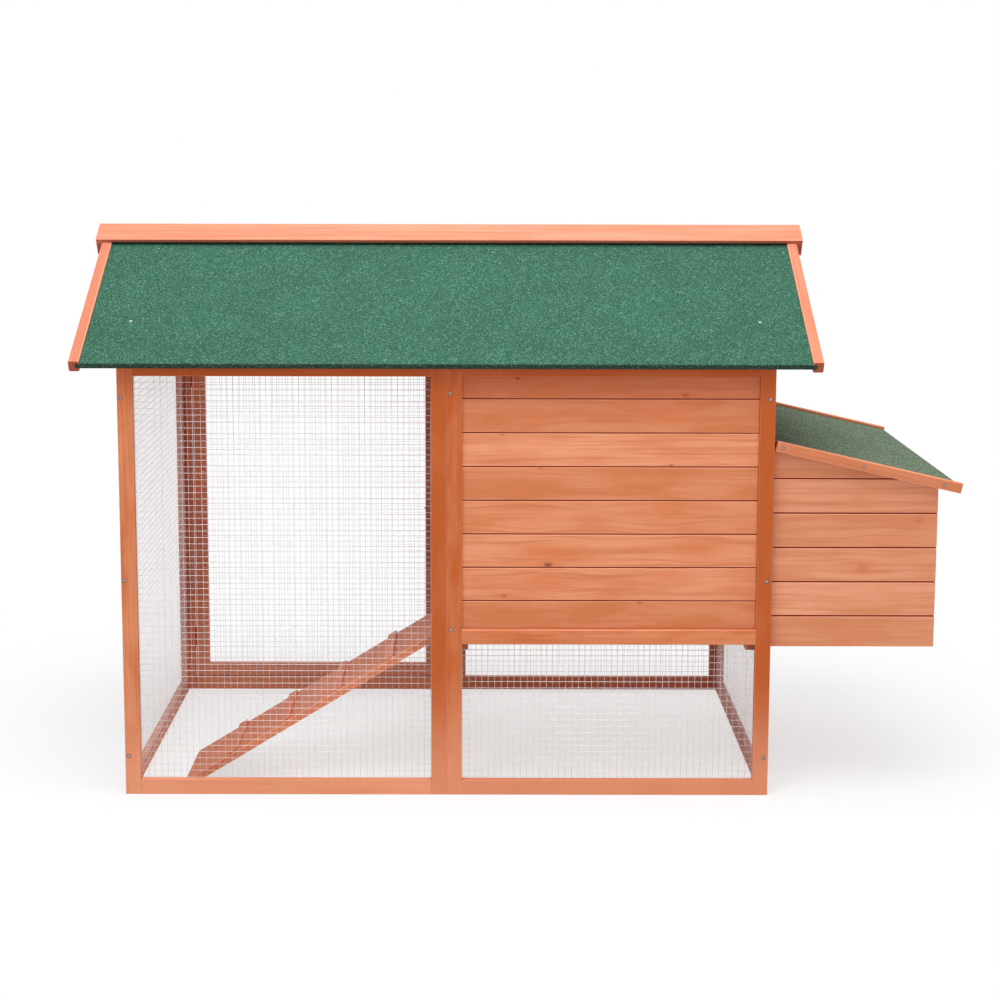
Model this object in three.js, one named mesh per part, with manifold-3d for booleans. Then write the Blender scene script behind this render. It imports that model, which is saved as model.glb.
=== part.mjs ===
// Wooden chicken coop with a wire run: a raised boarded house over the right half of the run, a gabled
// felt roof, a nest box with a lifting lid, a ramp, a pull-out tray and a rear door.
// Millimetres, +Z up. +X runs along the length towards the nest box and +Y from the front to the rear.
// The origin is at the centre of the box around the whole coop, on the ground.

import * as THREE from "three";
import { mergeVertices } from "three/addons/utils/BufferGeometryUtils.js";
import Module from "manifold-3d";

const wasm = await Module();
wasm.setup();

// Driving dimensions of the run and the house.
const runBayWidth = 633.5; // the left half, open from the ground to the roof
const houseBayWidth = 633.5; // the right half, with the raised house
const coopDepth = 750; // front face to rear face
const wallHeight = 862; // ground to the top of the frames
const stockWidth = 30; // planed timber of the frames, across its face
const stockThickness = 15;
const floorHeight = 305; // ground to the underside of the front floor rail

// Boarded walls.
const boardThickness = 8;
const boardPitch = 66.3;
const lowestBoard = 55.9; // what shows of the lowest board of the house
const jointWidth = 3; // the shadow line where two boards meet
const jointDepth = 2.5;
const partitionThickness = 12;
const popHoleWidth = 205;
const popHoleHeight = 270;
const sillRise = 15; // sill of the pop hole above the underside of the floor rail

// Wire mesh, drawn coarser than the real one.
const meshWire = 1.5;
const meshPitch = 76.2; // six cells of the real 12.7 mm mesh
const meshLap = 12; // how far the mesh reaches behind the frame

// Roof.
const roofPitch = THREE.MathUtils.degToRad(30);
const roofPanelThickness = 10;
const gableOverhang = 86; // past the side frames
const eaveOverhang = 22; // past the front and rear frames, at the underside
const bargeWidth = 20;
const bargeHeight = 23;
const bargeRise = 6; // how far a barge board stands above the felt
const bargeRebate = 8; // how deep the roof panel sits in a barge board
const ridgeBoardWidth = 57;
const ridgeBoardThickness = 8.5;
const ridgeOverhang = 12; // past the barge boards
const ridgeBlockDepth = 30;
const ridgeBlockThickness = 15;
const gableThickness = 12;

// Nest box on the right wall.
const nestDepth = 322; // right wall to the end of the nest box
const nestSetback = 17; // behind the front face and before the rear face
const nestDrop = 7.5; // underside of the floor rail down to the underside of the nest box
const nestBoardPitch = 68.2;
const nestLowestBoard = 61.7;
const nestDividerShare = 0.76; // height of the divider over that of the end wall, above the nest's floor
const lidPitch = THREE.MathUtils.degToRad(12.9);
const lidThickness = 10;
const lidOverhang = 40; // past the end of the nest box, at the underside
const lidRailDrop = 162; // top of the frames down to the underside of the rail that carries the lid
const lidRise = 5.5; // lid hinge axis above the underside of that rail
const lidTrimWidth = 15;
const lidTrimHeight = 20;
const lidTrimRise = 6;
const lidTrimRebate = 6;

// Ramp.
const rampSlope = THREE.MathUtils.degToRad(31.5);
const rampThickness = 14;
const rampWidth = 197;
const rampSetback = 75; // front face to the near edge of the ramp
const cleatCount = 4;
const cleatWidth = 20;
const cleatHeight = 5.5;
const firstCleat = 105; // along the ramp, foot to the first cleat
const cleatPitch = 123;

// Tray and its runners.
const trayThickness = 6;
const trayLipHeight = 18;
const trayLipThickness = 8;
const runnerWidth = 30;
const runnerLedge = 15; // thickness of a runner under the tray
const pullWidth = 90;
const pullDepth = 22;
const pullThickness = 12;

// Butt hinges of the rear door, the nest lid and the ramp.
const hingeRadius = 3;
const hingePinRadius = 1.2;
const hingeLeafThickness = 1.2;
const hingeLeafWidth = 22;
const hingeLength = 50;
const hingeInset = 90; // top or foot of the rear door to the middle of its hinge
const lidHingeInset = 180; // end of the nest lid to the middle of its hinge
const hingeScrewRadius = 1.8;
const hingeScrewCount = 2;
const rampHingeLength = 120;
const rampHingeLeafWidth = 12;

// Barrel bolt of the rear door.
const boltHeight = 430;
const boltRodRadius = 2.5;
const boltPlateLength = 28;
const boltPlateHeight = 26;
const boltPlateThickness = 1.2;
const boltLoopWidth = 6;
const boltLoopWall = 1.5;
const boltRodLength = 32;
const boltKnobRadius = 2.5;
const boltKnobLength = 14;
const boltKeeperLength = 9;

// Clearances and seats.
const seat = 0.3; // between a cut or sloping piece and what carries it
const doorGap = 2.5; // round the rear door
const lidGap = 1.5; // between the right wall and the lid
const slideGap = 1.5; // round the tray
const pinGap = 0.4; // round a pin in its bore, and between knuckles
const boltGap = 0.4; // between the bolt rod and its loops
const overrun = 5; // how far a cutting shape runs past what it cuts
const roundSides = 12; // facets round a pin, knuckle or rod

// Finishes.
const stainedFir = new THREE.MeshStandardMaterial({ color: 0xd88a64, roughness: 0.65, metalness: 0 });
const paleFir = new THREE.MeshStandardMaterial({ color: 0xf0a682, roughness: 0.65, metalness: 0 });
const greenFelt = new THREE.MeshStandardMaterial({ color: 0x4c876c, roughness: 0.95, metalness: 0 });
const zincSteel = new THREE.MeshStandardMaterial({ color: 0xc4c8cc, roughness: 0.4, metalness: 0.9 });
const weldedWire = new THREE.MeshStandardMaterial({ color: 0xd5d9dc, roughness: 0.45, metalness: 0.8 });

// Places that several pieces share.
const coopLength = runBayWidth + houseBayWidth;
const frameBack = stockThickness; // inner plane of the front frames
const rearFrameFront = coopDepth - stockThickness; // inner plane of the rear frames
const houseLeft = runBayWidth + stockWidth; // house opening of the front frame
const houseRight = coopLength - stockWidth;
const topRailBottom = wallHeight - stockWidth;
const lidRailHeight = wallHeight - lidRailDrop;
const floorTop = floorHeight + stockWidth; // top of the front floor rail
const roofStart = -gableOverhang;
const roofEnd = coopLength + gableOverhang;
const nestEnd = coopLength + nestDepth;
const nestRear = coopDepth - nestSetback;
const nestBottom = floorHeight - nestDrop;
const partitionLeft = runBayWidth;
const partitionRight = runBayWidth + partitionThickness;
const sillHeight = floorHeight + sillRise;
const ridgeY = coopDepth / 2;

const coop = new THREE.Group();

function addPiece(geometry, name, material, parent = coop) {
  const mesh = new THREE.Mesh(geometry, material);
  mesh.name = name;
  parent.add(mesh);
  return mesh;
}

// A box between two corners.
function block([x0, x1], [y0, y1], [z0, z1]) {
  const geometry = new THREE.BoxGeometry(x1 - x0, y1 - y0, z1 - z0);
  return geometry.translate((x0 + x1) / 2, (y0 + y1) / 2, (z0 + z1) / 2);
}

function outline(points) {
  return new THREE.Shape(points.map(([u, v]) => new THREE.Vector2(u, v)));
}

function extrude(shape, depth, curveSegments = roundSides) {
  return new THREE.ExtrudeGeometry(shape, { depth, bevelEnabled: false, curveSegments });
}

const axisX = new THREE.Vector3(1, 0, 0);
const axisY = new THREE.Vector3(0, 1, 0);
const axisZ = new THREE.Vector3(0, 0, 1);

// Turns that stand a flat shape up: its height becomes Z, and its thickness runs along +X or along -Y.
const acrossX = new THREE.Matrix4().makeBasis(axisY, axisZ, axisX);
const acrossY = new THREE.Matrix4().makeBasis(axisX, axisZ, axisY.clone().negate());

// Extrudes an outline of (y, z) points along X.
function extrudeAlongX(shape, [x0, x1], curveSegments) {
  return extrude(shape, x1 - x0, curveSegments).applyMatrix4(acrossX).translate(x0, 0, 0);
}

// Extrudes an outline of (x, z) points along Y.
function extrudeAlongY(shape, [y0, y1], curveSegments) {
  return extrude(shape, y1 - y0, curveSegments).applyMatrix4(acrossY).translate(0, y1, 0);
}

function toSolid(geometry) {
  const bare = geometry.clone();
  bare.deleteAttribute("normal");
  bare.deleteAttribute("uv");
  const merged = mergeVertices(bare);
  return new wasm.Manifold(
    new wasm.Mesh({
      numProp: 3,
      vertProperties: new Float32Array(merged.attributes.position.array),
      triVerts: new Uint32Array(merged.index.array),
    }),
  );
}

function toGeometry(solid) {
  const { vertProperties, triVerts } = solid.getMesh();
  const geometry = new THREE.BufferGeometry();
  geometry.setAttribute("position", new THREE.BufferAttribute(vertProperties, 3));
  geometry.setIndex(new THREE.BufferAttribute(triVerts, 1));
  const flat = geometry.toNonIndexed();
  flat.computeVertexNormals();
  return flat;
}

function join(...geometries) {
  return toGeometry(geometries.map(toSolid).reduce((whole, next) => whole.add(next)));
}

function cut(geometry, ...tools) {
  return toGeometry(tools.map(toSolid).reduce((whole, tool) => whole.subtract(tool), toSolid(geometry)));
}

function keepInside(geometry, envelope) {
  return toGeometry(toSolid(geometry).intersect(toSolid(envelope)));
}

// A rectangular outline with rectangular holes, each given as [u0, u1, v0, v1].
function panelShape(width, height, openings) {
  const shape = outline([[0, 0], [width, 0], [width, height], [0, height]]);
  for (const [u0, u1, v0, v1] of openings) {
    shape.holes.push(outline([[u0, v0], [u0, v1], [u1, v1], [u1, v0]]));
  }
  return shape;
}

// Openings of a frame between its stiles, from the undersides of the rails that cross it.
function frameOpenings(width, rails) {
  return rails.slice(1).map((railBottom, i) => [
    stockWidth,
    width - stockWidth,
    rails[i] + stockWidth,
    railBottom,
  ]);
}

// A flat welded mesh in the plane of X and Y, from the origin: a thin sheet with its cells cut out.
function flatMesh(width, height) {
  const columns = Math.max(1, Math.round(width / meshPitch));
  const rows = Math.max(1, Math.round(height / meshPitch));
  const stepX = (width - meshWire) / columns;
  const stepY = (height - meshWire) / rows;
  const cells = [];
  for (let row = 0; row < rows; row += 1) {
    for (let column = 0; column < columns; column += 1) {
      const across = [meshWire + column * stepX, (column + 1) * stepX];
      const up = [meshWire + row * stepY, (row + 1) * stepY];
      cells.push(block(across, up, [-overrun, meshWire + overrun]));
    }
  }
  return cut(block([0, width], [0, height], [0, meshWire]), join(...cells));
}

// Outline, in (y, z), of a boarded wall whose outer face looks towards -Y, with a shadow line at each joint.
function boardOutline(thickness, [z0, z1], firstJoint, pitch) {
  const outer = [];
  for (let joint = firstJoint; joint < z1 - jointWidth; joint += pitch) {
    if (joint > z0 + jointWidth) {
      outer.push([0, joint - jointWidth / 2]);
      outer.push([jointDepth, joint - jointWidth / 2]);
      outer.push([jointDepth, joint]);
      outer.push([0, joint + jointWidth / 2]);
    }
  }
  return outline([[0, z0], ...outer, [0, z1], [thickness, z1], [thickness, z0]]);
}

// A boarded wall of a length along +X from the origin, with its outer face at y = 0 looking towards -Y.
function boardWall(length, thickness, heights, firstJoint, pitch) {
  return extrudeAlongX(boardOutline(thickness, heights, firstJoint, pitch), [0, length]);
}

// Places a boarded wall with its outer face looking towards +Y, -X or +X.
function faceRear(geometry, x, y) {
  return geometry.rotateZ(Math.PI).translate(x, y, 0);
}

function faceLeft(geometry, x, y) {
  return geometry.rotateZ(-Math.PI / 2).translate(x, y, 0);
}

function faceRight(geometry, x, y) {
  return geometry.rotateZ(Math.PI / 2).translate(x, y, 0);
}

// The front frames: two panels side by side, each of separate stiles and rails.
function addFrontFrames() {
  const thickness = [0, stockThickness];
  const full = [0, wallHeight];
  const bays = [
    ["front_run", 0, runBayWidth, { bottom: 0, top: topRailBottom }],
    ["front_house", runBayWidth, coopLength, { bottom: 0, floor: floorHeight, top: topRailBottom }],
  ];
  for (const [bay, x0, x1, rails] of bays) {
    addPiece(block([x0, x0 + stockWidth], thickness, full), `${bay}_left_stile`, stainedFir);
    addPiece(block([x1 - stockWidth, x1], thickness, full), `${bay}_right_stile`, stainedFir);
    for (const [rail, z] of Object.entries(rails)) {
      const geometry = block([x0 + stockWidth, x1 - stockWidth], thickness, [z, z + stockWidth]);
      addPiece(geometry, `${bay}_${rail}_rail`, stainedFir);
    }
  }
}

// The rear and side panels: glued frames, each one piece.
function addOtherFrames() {
  const rear = [rearFrameFront, coopDepth];
  const run = panelShape(runBayWidth, wallHeight, frameOpenings(runBayWidth, [0, topRailBottom]));
  addPiece(extrudeAlongY(run, rear), "rear_run_frame", stainedFir);

  const houseRails = [0, floorHeight - stockWidth, topRailBottom];
  const house = panelShape(houseBayWidth, wallHeight, frameOpenings(houseBayWidth, houseRails));
  addPiece(extrudeAlongY(house, rear).translate(runBayWidth, 0, 0), "rear_house_frame", stainedFir);

  const sideDepth = rearFrameFront - frameBack;
  const left = panelShape(sideDepth, wallHeight, frameOpenings(sideDepth, [0, topRailBottom]));
  addPiece(extrudeAlongX(left, [0, stockThickness]).translate(0, frameBack, 0), "left_side_frame", stainedFir);

  const rightRails = [0, floorHeight, lidRailHeight, topRailBottom];
  const right = panelShape(sideDepth, wallHeight, frameOpenings(sideDepth, rightRails));
  const rightX = [coopLength - stockThickness, coopLength];
  addPiece(extrudeAlongX(right, rightX).translate(0, frameBack, 0), "right_side_frame", stainedFir);
}

// Welded mesh on the inner faces of the frames, lapping their openings.
function addMeshes() {
  const low = stockWidth - meshLap;
  const runRange = [stockWidth - meshLap, runBayWidth - stockWidth + meshLap];
  const houseRange = [houseLeft - meshLap, houseRight + meshLap];
  const sideRange = [frameBack + stockWidth - meshLap, rearFrameFront - stockWidth + meshLap];
  const tall = [low, topRailBottom + meshLap];
  const short = [low, floorHeight + meshLap];
  const rearShort = [low, floorHeight - stockWidth + meshLap];

  function acrossFrame(name, [x0, x1], [z0, z1], y) {
    const geometry = flatMesh(x1 - x0, z1 - z0).applyMatrix4(acrossY);
    addPiece(geometry.translate(x0, y + meshWire, z0), name, weldedWire);
  }

  function alongSide(name, [y0, y1], [z0, z1], x) {
    const geometry = flatMesh(y1 - y0, z1 - z0).applyMatrix4(acrossX);
    addPiece(geometry.translate(x, y0, z0), name, weldedWire);
  }

  acrossFrame("front_run_mesh", runRange, tall, frameBack);
  acrossFrame("front_house_mesh", houseRange, short, frameBack);
  acrossFrame("rear_house_mesh", houseRange, rearShort, rearFrameFront - meshWire);
  alongSide("left_side_mesh", sideRange, tall, stockThickness);
  alongSide("right_side_mesh", sideRange, short, coopLength - stockThickness - meshWire);
}

// Boards of the house, set in the frames with their backs flush with the frames' inner planes.
function addHouseBoards() {
  const recess = stockThickness - boardThickness;
  const width = houseRight - houseLeft - seat * 2;
  const heights = [floorTop + seat, topRailBottom - seat];
  const firstJoint = floorTop + lowestBoard;
  const front = boardWall(width, boardThickness, heights, firstJoint, boardPitch);
  addPiece(front.translate(houseLeft + seat, recess, 0), "front_house_boards", stainedFir);

  const rear = boardWall(width, boardThickness, [floorTop, topRailBottom - seat], firstJoint, boardPitch);
  addPiece(faceRear(rear, houseRight - seat, coopDepth - recess), "rear_house_boards", stainedFir);

  const sideStart = frameBack + stockWidth + seat;
  const sideWidth = rearFrameFront - stockWidth - seat - sideStart;
  const sideHeights = [lidRailHeight + stockWidth + seat, topRailBottom - seat];
  const side = boardWall(sideWidth, boardThickness, sideHeights, sideHeights[0] + boardPitch, boardPitch);
  addPiece(faceRight(side, coopLength - recess, sideStart), "right_house_boards", stainedFir);
}

// The wall between the run and the house, with the pop hole that the ramp leads to.
function addPartition() {
  const length = rearFrameFront - frameBack;
  const firstJoint = floorTop + lowestBoard;
  const wall = boardWall(length, partitionThickness, [floorHeight, wallHeight], firstJoint, boardPitch);
  const holeMiddle = rampSetback + rampWidth / 2;
  const hole = block(
    [partitionLeft - overrun, partitionRight + overrun],
    [holeMiddle - popHoleWidth / 2, holeMiddle + popHoleWidth / 2],
    [sillHeight, sillHeight + popHoleHeight],
  );
  addPiece(cut(faceLeft(wall, partitionLeft, rearFrameFront), hole), "partition_boards", stainedFir);
}

// A point of the front roof slope, in (y, z): out from the roof's underside, level with the eave's end.
function eavePoint(out) {
  const underside = wallHeight + seat - eaveOverhang * Math.tan(roofPitch);
  return [-eaveOverhang - out * Math.sin(roofPitch), underside + out * Math.cos(roofPitch)];
}

// The height of the same slope above a place y.
function slopeHeight(out, y) {
  return wallHeight + seat + y * Math.tan(roofPitch) + out / Math.cos(roofPitch);
}

// Outline, in (y, z), of a layer of the front slope from its eave to the plumb cut at the ridge.
function slopeOutline(low, high, run = 0) {
  const ridge = ridgeY - seat / 2 + run;
  const along = ([y, z]) => [y - run * Math.cos(roofPitch), z - run * Math.sin(roofPitch)];
  return outline([
    along(eavePoint(low)),
    [ridge, slopeHeight(low, ridge)],
    [ridge, slopeHeight(high, ridge)],
    along(eavePoint(high)),
  ]);
}

// A place on the front slope: down from the ridge along the slope, and out from the underside.
function fromRidge(down, out) {
  const y = ridgeY - seat / 2;
  const z = slopeHeight(0, y);
  return [
    y - down * Math.cos(roofPitch) - out * Math.sin(roofPitch),
    z - down * Math.sin(roofPitch) + out * Math.cos(roofPitch),
  ];
}

function bargeBoard([x0, x1], grooveX) {
  const top = roofPanelThickness + bargeRise;
  const whole = extrudeAlongX(slopeOutline(top - bargeHeight, top), [x0, x1]);
  return cut(whole, extrudeAlongX(slopeOutline(-seat, roofPanelThickness + seat, overrun), grooveX));
}

// One ridge board, with a block at each end that hooks over the barge board beside it.
function ridgeBoard() {
  const low = roofPanelThickness + bargeRise + seat;
  const high = low + ridgeBoardThickness;
  const apexY = ridgeY - seat / 2;
  const board = outline([
    fromRidge(ridgeBoardWidth, low),
    [apexY, slopeHeight(low, apexY)],
    [apexY, slopeHeight(high, apexY)],
    fromRidge(ridgeBoardWidth, high),
  ]);
  const endBlock = outline([
    fromRidge(ridgeBoardWidth, low - ridgeBlockDepth),
    fromRidge(ridgeBoardWidth - ridgeBlockThickness, low - ridgeBlockDepth),
    fromRidge(ridgeBoardWidth - ridgeBlockThickness, low + ridgeBoardThickness / 2),
    fromRidge(ridgeBoardWidth, low + ridgeBoardThickness / 2),
  ]);
  const start = roofStart - ridgeOverhang;
  const end = roofEnd + ridgeOverhang;
  return join(
    extrudeAlongX(board, [start, end]),
    extrudeAlongX(endBlock, [start, roofStart - seat]),
    extrudeAlongX(endBlock, [roofEnd + seat, end]),
  );
}

// The two roof slopes: the rear one is the front one turned about the ridge.
function addRoof() {
  const left = [roofStart, roofStart + bargeWidth];
  const right = [roofEnd - bargeWidth, roofEnd];
  const panelX = [left[1] - bargeRebate + seat, right[0] + bargeRebate - seat];
  const leftGroove = [left[1] - bargeRebate, left[1] + overrun];
  const rightGroove = [right[0] - overrun, right[0] + bargeRebate];
  for (const side of ["front", "rear"]) {
    const slope = new THREE.Group();
    if (side === "rear") {
      slope.rotation.z = Math.PI;
      slope.position.set(coopLength, coopDepth, 0);
    }
    coop.add(slope);
    const [nearStart, nearEnd] = side === "front" ? ["left", "right"] : ["right", "left"];
    const panel = extrudeAlongX(slopeOutline(0, roofPanelThickness), panelX);
    addPiece(panel, `${side}_roof_panel`, greenFelt, slope);
    addPiece(bargeBoard(left, leftGroove), `${side}_${nearStart}_barge_board`, paleFir, slope);
    addPiece(bargeBoard(right, rightGroove), `${side}_${nearEnd}_barge_board`, paleFir, slope);
    addPiece(ridgeBoard(), `${side}_ridge_board`, paleFir, slope);
  }
}

// Boarded gable triangles on top of the side frames, up to the underside of the roof.
function addGables() {
  const base = wallHeight + seat;
  const inset = seat / Math.tan(roofPitch) + seat;
  const triangle = outline([
    [inset, base],
    [coopDepth - inset, base],
    [ridgeY, slopeHeight(-seat, ridgeY)],
  ]);
  const heights = [base, slopeHeight(0, ridgeY)];
  const wall = () => boardWall(coopDepth, gableThickness, heights, base + boardPitch, boardPitch);
  const left = faceLeft(wall(), 0, coopDepth);
  const right = faceRight(wall(), coopLength, 0);
  addPiece(
    keepInside(left, extrudeAlongX(triangle, [-overrun, gableThickness + overrun])),
    "left_gable_boards",
    stainedFir,
  );
  addPiece(
    keepInside(right, extrudeAlongX(triangle, [coopLength - gableThickness - overrun, coopLength + overrun])),
    "right_gable_boards",
    stainedFir,
  );
}

// The lid's hinge axis, parallel to Y, just off the right wall. The felt lies a knuckle's radius below it.
const lidAxis = { x: coopLength + seat + hingeRadius, z: lidRailHeight + lidRise };

// A point of the lid, in (x, z): along the slope from the hinge axis, and out from its underside.
function lidPoint(along, out) {
  const below = hingeRadius + seat + lidThickness - out;
  return [
    lidAxis.x + along * Math.cos(lidPitch) - below * Math.sin(lidPitch),
    lidAxis.z - along * Math.sin(lidPitch) - below * Math.cos(lidPitch),
  ];
}

// The lid starts where the lowest corner of its trims stands clear of the wall.
const lidLowest = lidThickness + lidTrimRise - lidTrimHeight;
const lidStart = (lidGap + coopLength - lidPoint(0, lidLowest)[0]) / Math.cos(lidPitch);
const lidEnd = (nestEnd + lidOverhang - lidPoint(0, 0)[0]) / Math.cos(lidPitch);

// Outline, in (x, z), of a layer of the lid from its wall end to its outer end.
function lidLayer(low, high, run = 0) {
  return outline([
    lidPoint(lidStart - run, low),
    lidPoint(lidEnd + run, low),
    lidPoint(lidEnd + run, high),
    lidPoint(lidStart - run, high),
  ]);
}

// The walls of the nest box are cut off just under the lid.
function nestEnvelope() {
  const [x0, z0] = lidPoint(-overrun, -seat);
  const [x1, z1] = lidPoint(lidEnd, -seat);
  const under = outline([[x0, 0], [x1, 0], [x1, z1], [x0, z0]]);
  return extrudeAlongY(under, [-overrun, coopDepth + overrun]);
}

function addNestBox() {
  const heights = [nestBottom, lidRailHeight];
  const firstJoint = nestBottom + nestLowestBoard;
  const envelope = nestEnvelope();
  const front = boardWall(nestDepth, boardThickness, heights, firstJoint, nestBoardPitch);
  addPiece(keepInside(front.translate(coopLength, nestSetback, 0), envelope), "nest_front_wall", stainedFir);

  const rear = boardWall(nestDepth, boardThickness, heights, firstJoint, nestBoardPitch);
  addPiece(keepInside(faceRear(rear, nestEnd, nestRear), envelope), "nest_rear_wall", stainedFir);

  const inner = [nestSetback + boardThickness, nestRear - boardThickness];
  const end = boardWall(inner[1] - inner[0], boardThickness, heights, firstJoint, nestBoardPitch);
  addPiece(keepInside(faceRight(end, nestEnd, inner[0]), envelope), "nest_end_wall", stainedFir);

  const floorX = [coopLength, nestEnd - boardThickness];
  const floorZ = [nestBottom, nestBottom + boardThickness];
  addPiece(block(floorX, inner, floorZ), "nest_floor", stainedFir);

  const middle = [ridgeY - boardThickness / 2, ridgeY + boardThickness / 2];
  const endHeight = lidPoint(lidEnd, -seat)[1] - floorZ[1];
  const dividerZ = [floorZ[1], floorZ[1] + endHeight * nestDividerShare];
  addPiece(block(floorX, middle, dividerZ), "nest_divider", stainedFir);
}

function addNestLid() {
  const lid = [lidTrimWidth - lidTrimRebate + seat, coopDepth - lidTrimWidth + lidTrimRebate - seat];
  const board = extrudeAlongY(lidLayer(0, lidThickness), lid);
  addPiece(board, "nest_lid", greenFelt);
  const top = lidThickness + lidTrimRise;
  const trims = {
    nest_lid_front_trim: [[0, lidTrimWidth], [lidTrimWidth - lidTrimRebate, lidTrimWidth + overrun]],
    nest_lid_rear_trim: [
      [coopDepth - lidTrimWidth, coopDepth],
      [coopDepth - lidTrimWidth - overrun, coopDepth - lidTrimWidth + lidTrimRebate],
    ],
  };
  for (const [name, [across, groove]] of Object.entries(trims)) {
    const whole = extrudeAlongY(lidLayer(lidLowest, top), across);
    const rebate = lidLayer(-seat, lidThickness + seat, overrun);
    addPiece(cut(whole, extrudeAlongY(rebate, groove)), name, paleFir);
  }
}

// One leaf of a butt hinge. The axis is Z, the leaf lies towards +X, and it is tangent to the knuckle at -Y.
// Of the three knuckles the fixed leaf has the outer two and the pin, and the moving leaf the middle one.
function hingeLeaf(length, width, isFixed) {
  const knuckle = length / 3;
  const plate = outline([
    [hingeRadius + pinGap, -length / 2],
    [width, -length / 2],
    [width, length / 2],
    [hingeRadius + pinGap, length / 2],
  ]);
  for (let i = 0; i < hingeScrewCount; i += 1) {
    const hole = new THREE.Path();
    const z = (i / (hingeScrewCount - 1) - 1 / 2) * (length - knuckle);
    hole.absarc((hingeRadius + width) / 2, z, hingeScrewRadius, 0, Math.PI * 2, true);
    plate.holes.push(hole);
  }
  const leafY = [-hingeRadius, -hingeRadius + hingeLeafThickness];
  const parts = [extrudeAlongY(plate, leafY, roundSides / 4)];
  const places = isFixed ? [-knuckle, knuckle] : [0];
  const barrel = (radius, height) =>
    new THREE.CylinderGeometry(radius, radius, height, roundSides).rotateX(Math.PI / 2);
  for (const z of places) {
    const size = knuckle - pinGap;
    parts.push(block([0, hingeRadius + pinGap * 2], leafY, [z - size / 2, z + size / 2]));
    parts.push(barrel(hingeRadius, size).translate(0, 0, z));
  }
  if (isFixed) {
    return join(...parts, barrel(hingePinRadius, length - pinGap));
  }
  return cut(join(...parts), barrel(hingePinRadius + pinGap, length + overrun));
}

// Adds both leaves about an axis. The fixed leaf is turned by one angle about it, the moving leaf by the other.
function addHinge(names, axis, length, width, fixedTurn, movingTurn) {
  [[names[0], fixedTurn, true], [names[1], movingTurn, false]].forEach(([name, turn, isFixed]) => {
    const leaf = hingeLeaf(length, width, isFixed);
    if (!isFixed) {
      leaf.rotateY(Math.PI); // the moving leaf lies towards -X before it is turned
    }
    const piece = addPiece(leaf, name, zincSteel);
    const about = new THREE.Quaternion().setFromAxisAngle(axisZ, turn);
    piece.quaternion.copy(axis.frame).multiply(about);
    piece.position.copy(axis.at);
  });
}

// Frames of hinge axes: local Z along the axis, local -Y towards the face that the leaves lie on.
const uprightFrame = new THREE.Quaternion().setFromAxisAngle(axisY, Math.PI);
const lengthwiseFrame = new THREE.Quaternion().setFromRotationMatrix(
  new THREE.Matrix4().makeBasis(axisZ, axisX, axisY),
);

// The rear door hangs between the stiles of the rear run frame and swings out to the rear.
const doorX = [stockWidth + doorGap, runBayWidth - stockWidth - doorGap];
const doorZ = [stockWidth + doorGap, topRailBottom - doorGap];

function addRearDoor() {
  const width = doorX[1] - doorX[0];
  const height = doorZ[1] - doorZ[0];
  const frame = panelShape(width, height, frameOpenings(width, [0, height - stockWidth]));
  const door = extrudeAlongY(frame, [rearFrameFront, coopDepth]);
  addPiece(door.translate(doorX[0], 0, doorZ[0]), "rear_door_frame", stainedFir);

  const inset = stockWidth - meshLap;
  const net = flatMesh(width - inset * 2, height - inset * 2).applyMatrix4(acrossY);
  addPiece(net.translate(doorX[0] + inset, rearFrameFront, doorZ[0] + inset), "rear_door_mesh", weldedWire);

  const hingeX = stockWidth + doorGap / 2;
  const hingeY = coopDepth + seat + hingeRadius;
  const places = { lower: doorZ[0] + hingeInset, upper: doorZ[1] - hingeInset };
  for (const [place, z] of Object.entries(places)) {
    const names = [`door_${place}_hinge_frame_leaf`, `door_${place}_hinge_door_leaf`];
    const axis = { frame: uprightFrame, at: new THREE.Vector3(hingeX, hingeY, z) };
    addHinge(names, axis, hingeLength, hingeLeafWidth, 0, 0);
  }
}

// A loop of the barrel bolt: a strap bent over the rod, on a plate, along X. The rod lies at z = 0.
function boltLoops(plateLength, loopPlaces) {
  const rodY = boltPlateThickness + boltLoopWall + boltGap + boltRodRadius;
  const inner = boltRodRadius + boltGap;
  const outer = inner + boltLoopWall;
  const plate = block([0, plateLength], [0, boltPlateThickness], [-boltPlateHeight / 2, boltPlateHeight / 2]);
  const parts = [plate];
  for (const x of loopPlaces) {
    const across = [x, x + boltLoopWidth];
    const round = new THREE.CylinderGeometry(outer, outer, boltLoopWidth, roundSides);
    parts.push(round.rotateZ(Math.PI / 2).translate(x + boltLoopWidth / 2, rodY, 0));
    parts.push(block(across, [boltPlateThickness / 2, rodY], [-outer, outer]));
  }
  const bore = new THREE.CylinderGeometry(inner, inner, plateLength + overrun * 2, roundSides);
  return cut(join(...parts), bore.rotateZ(Math.PI / 2).translate(plateLength / 2, rodY, 0));
}

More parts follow.
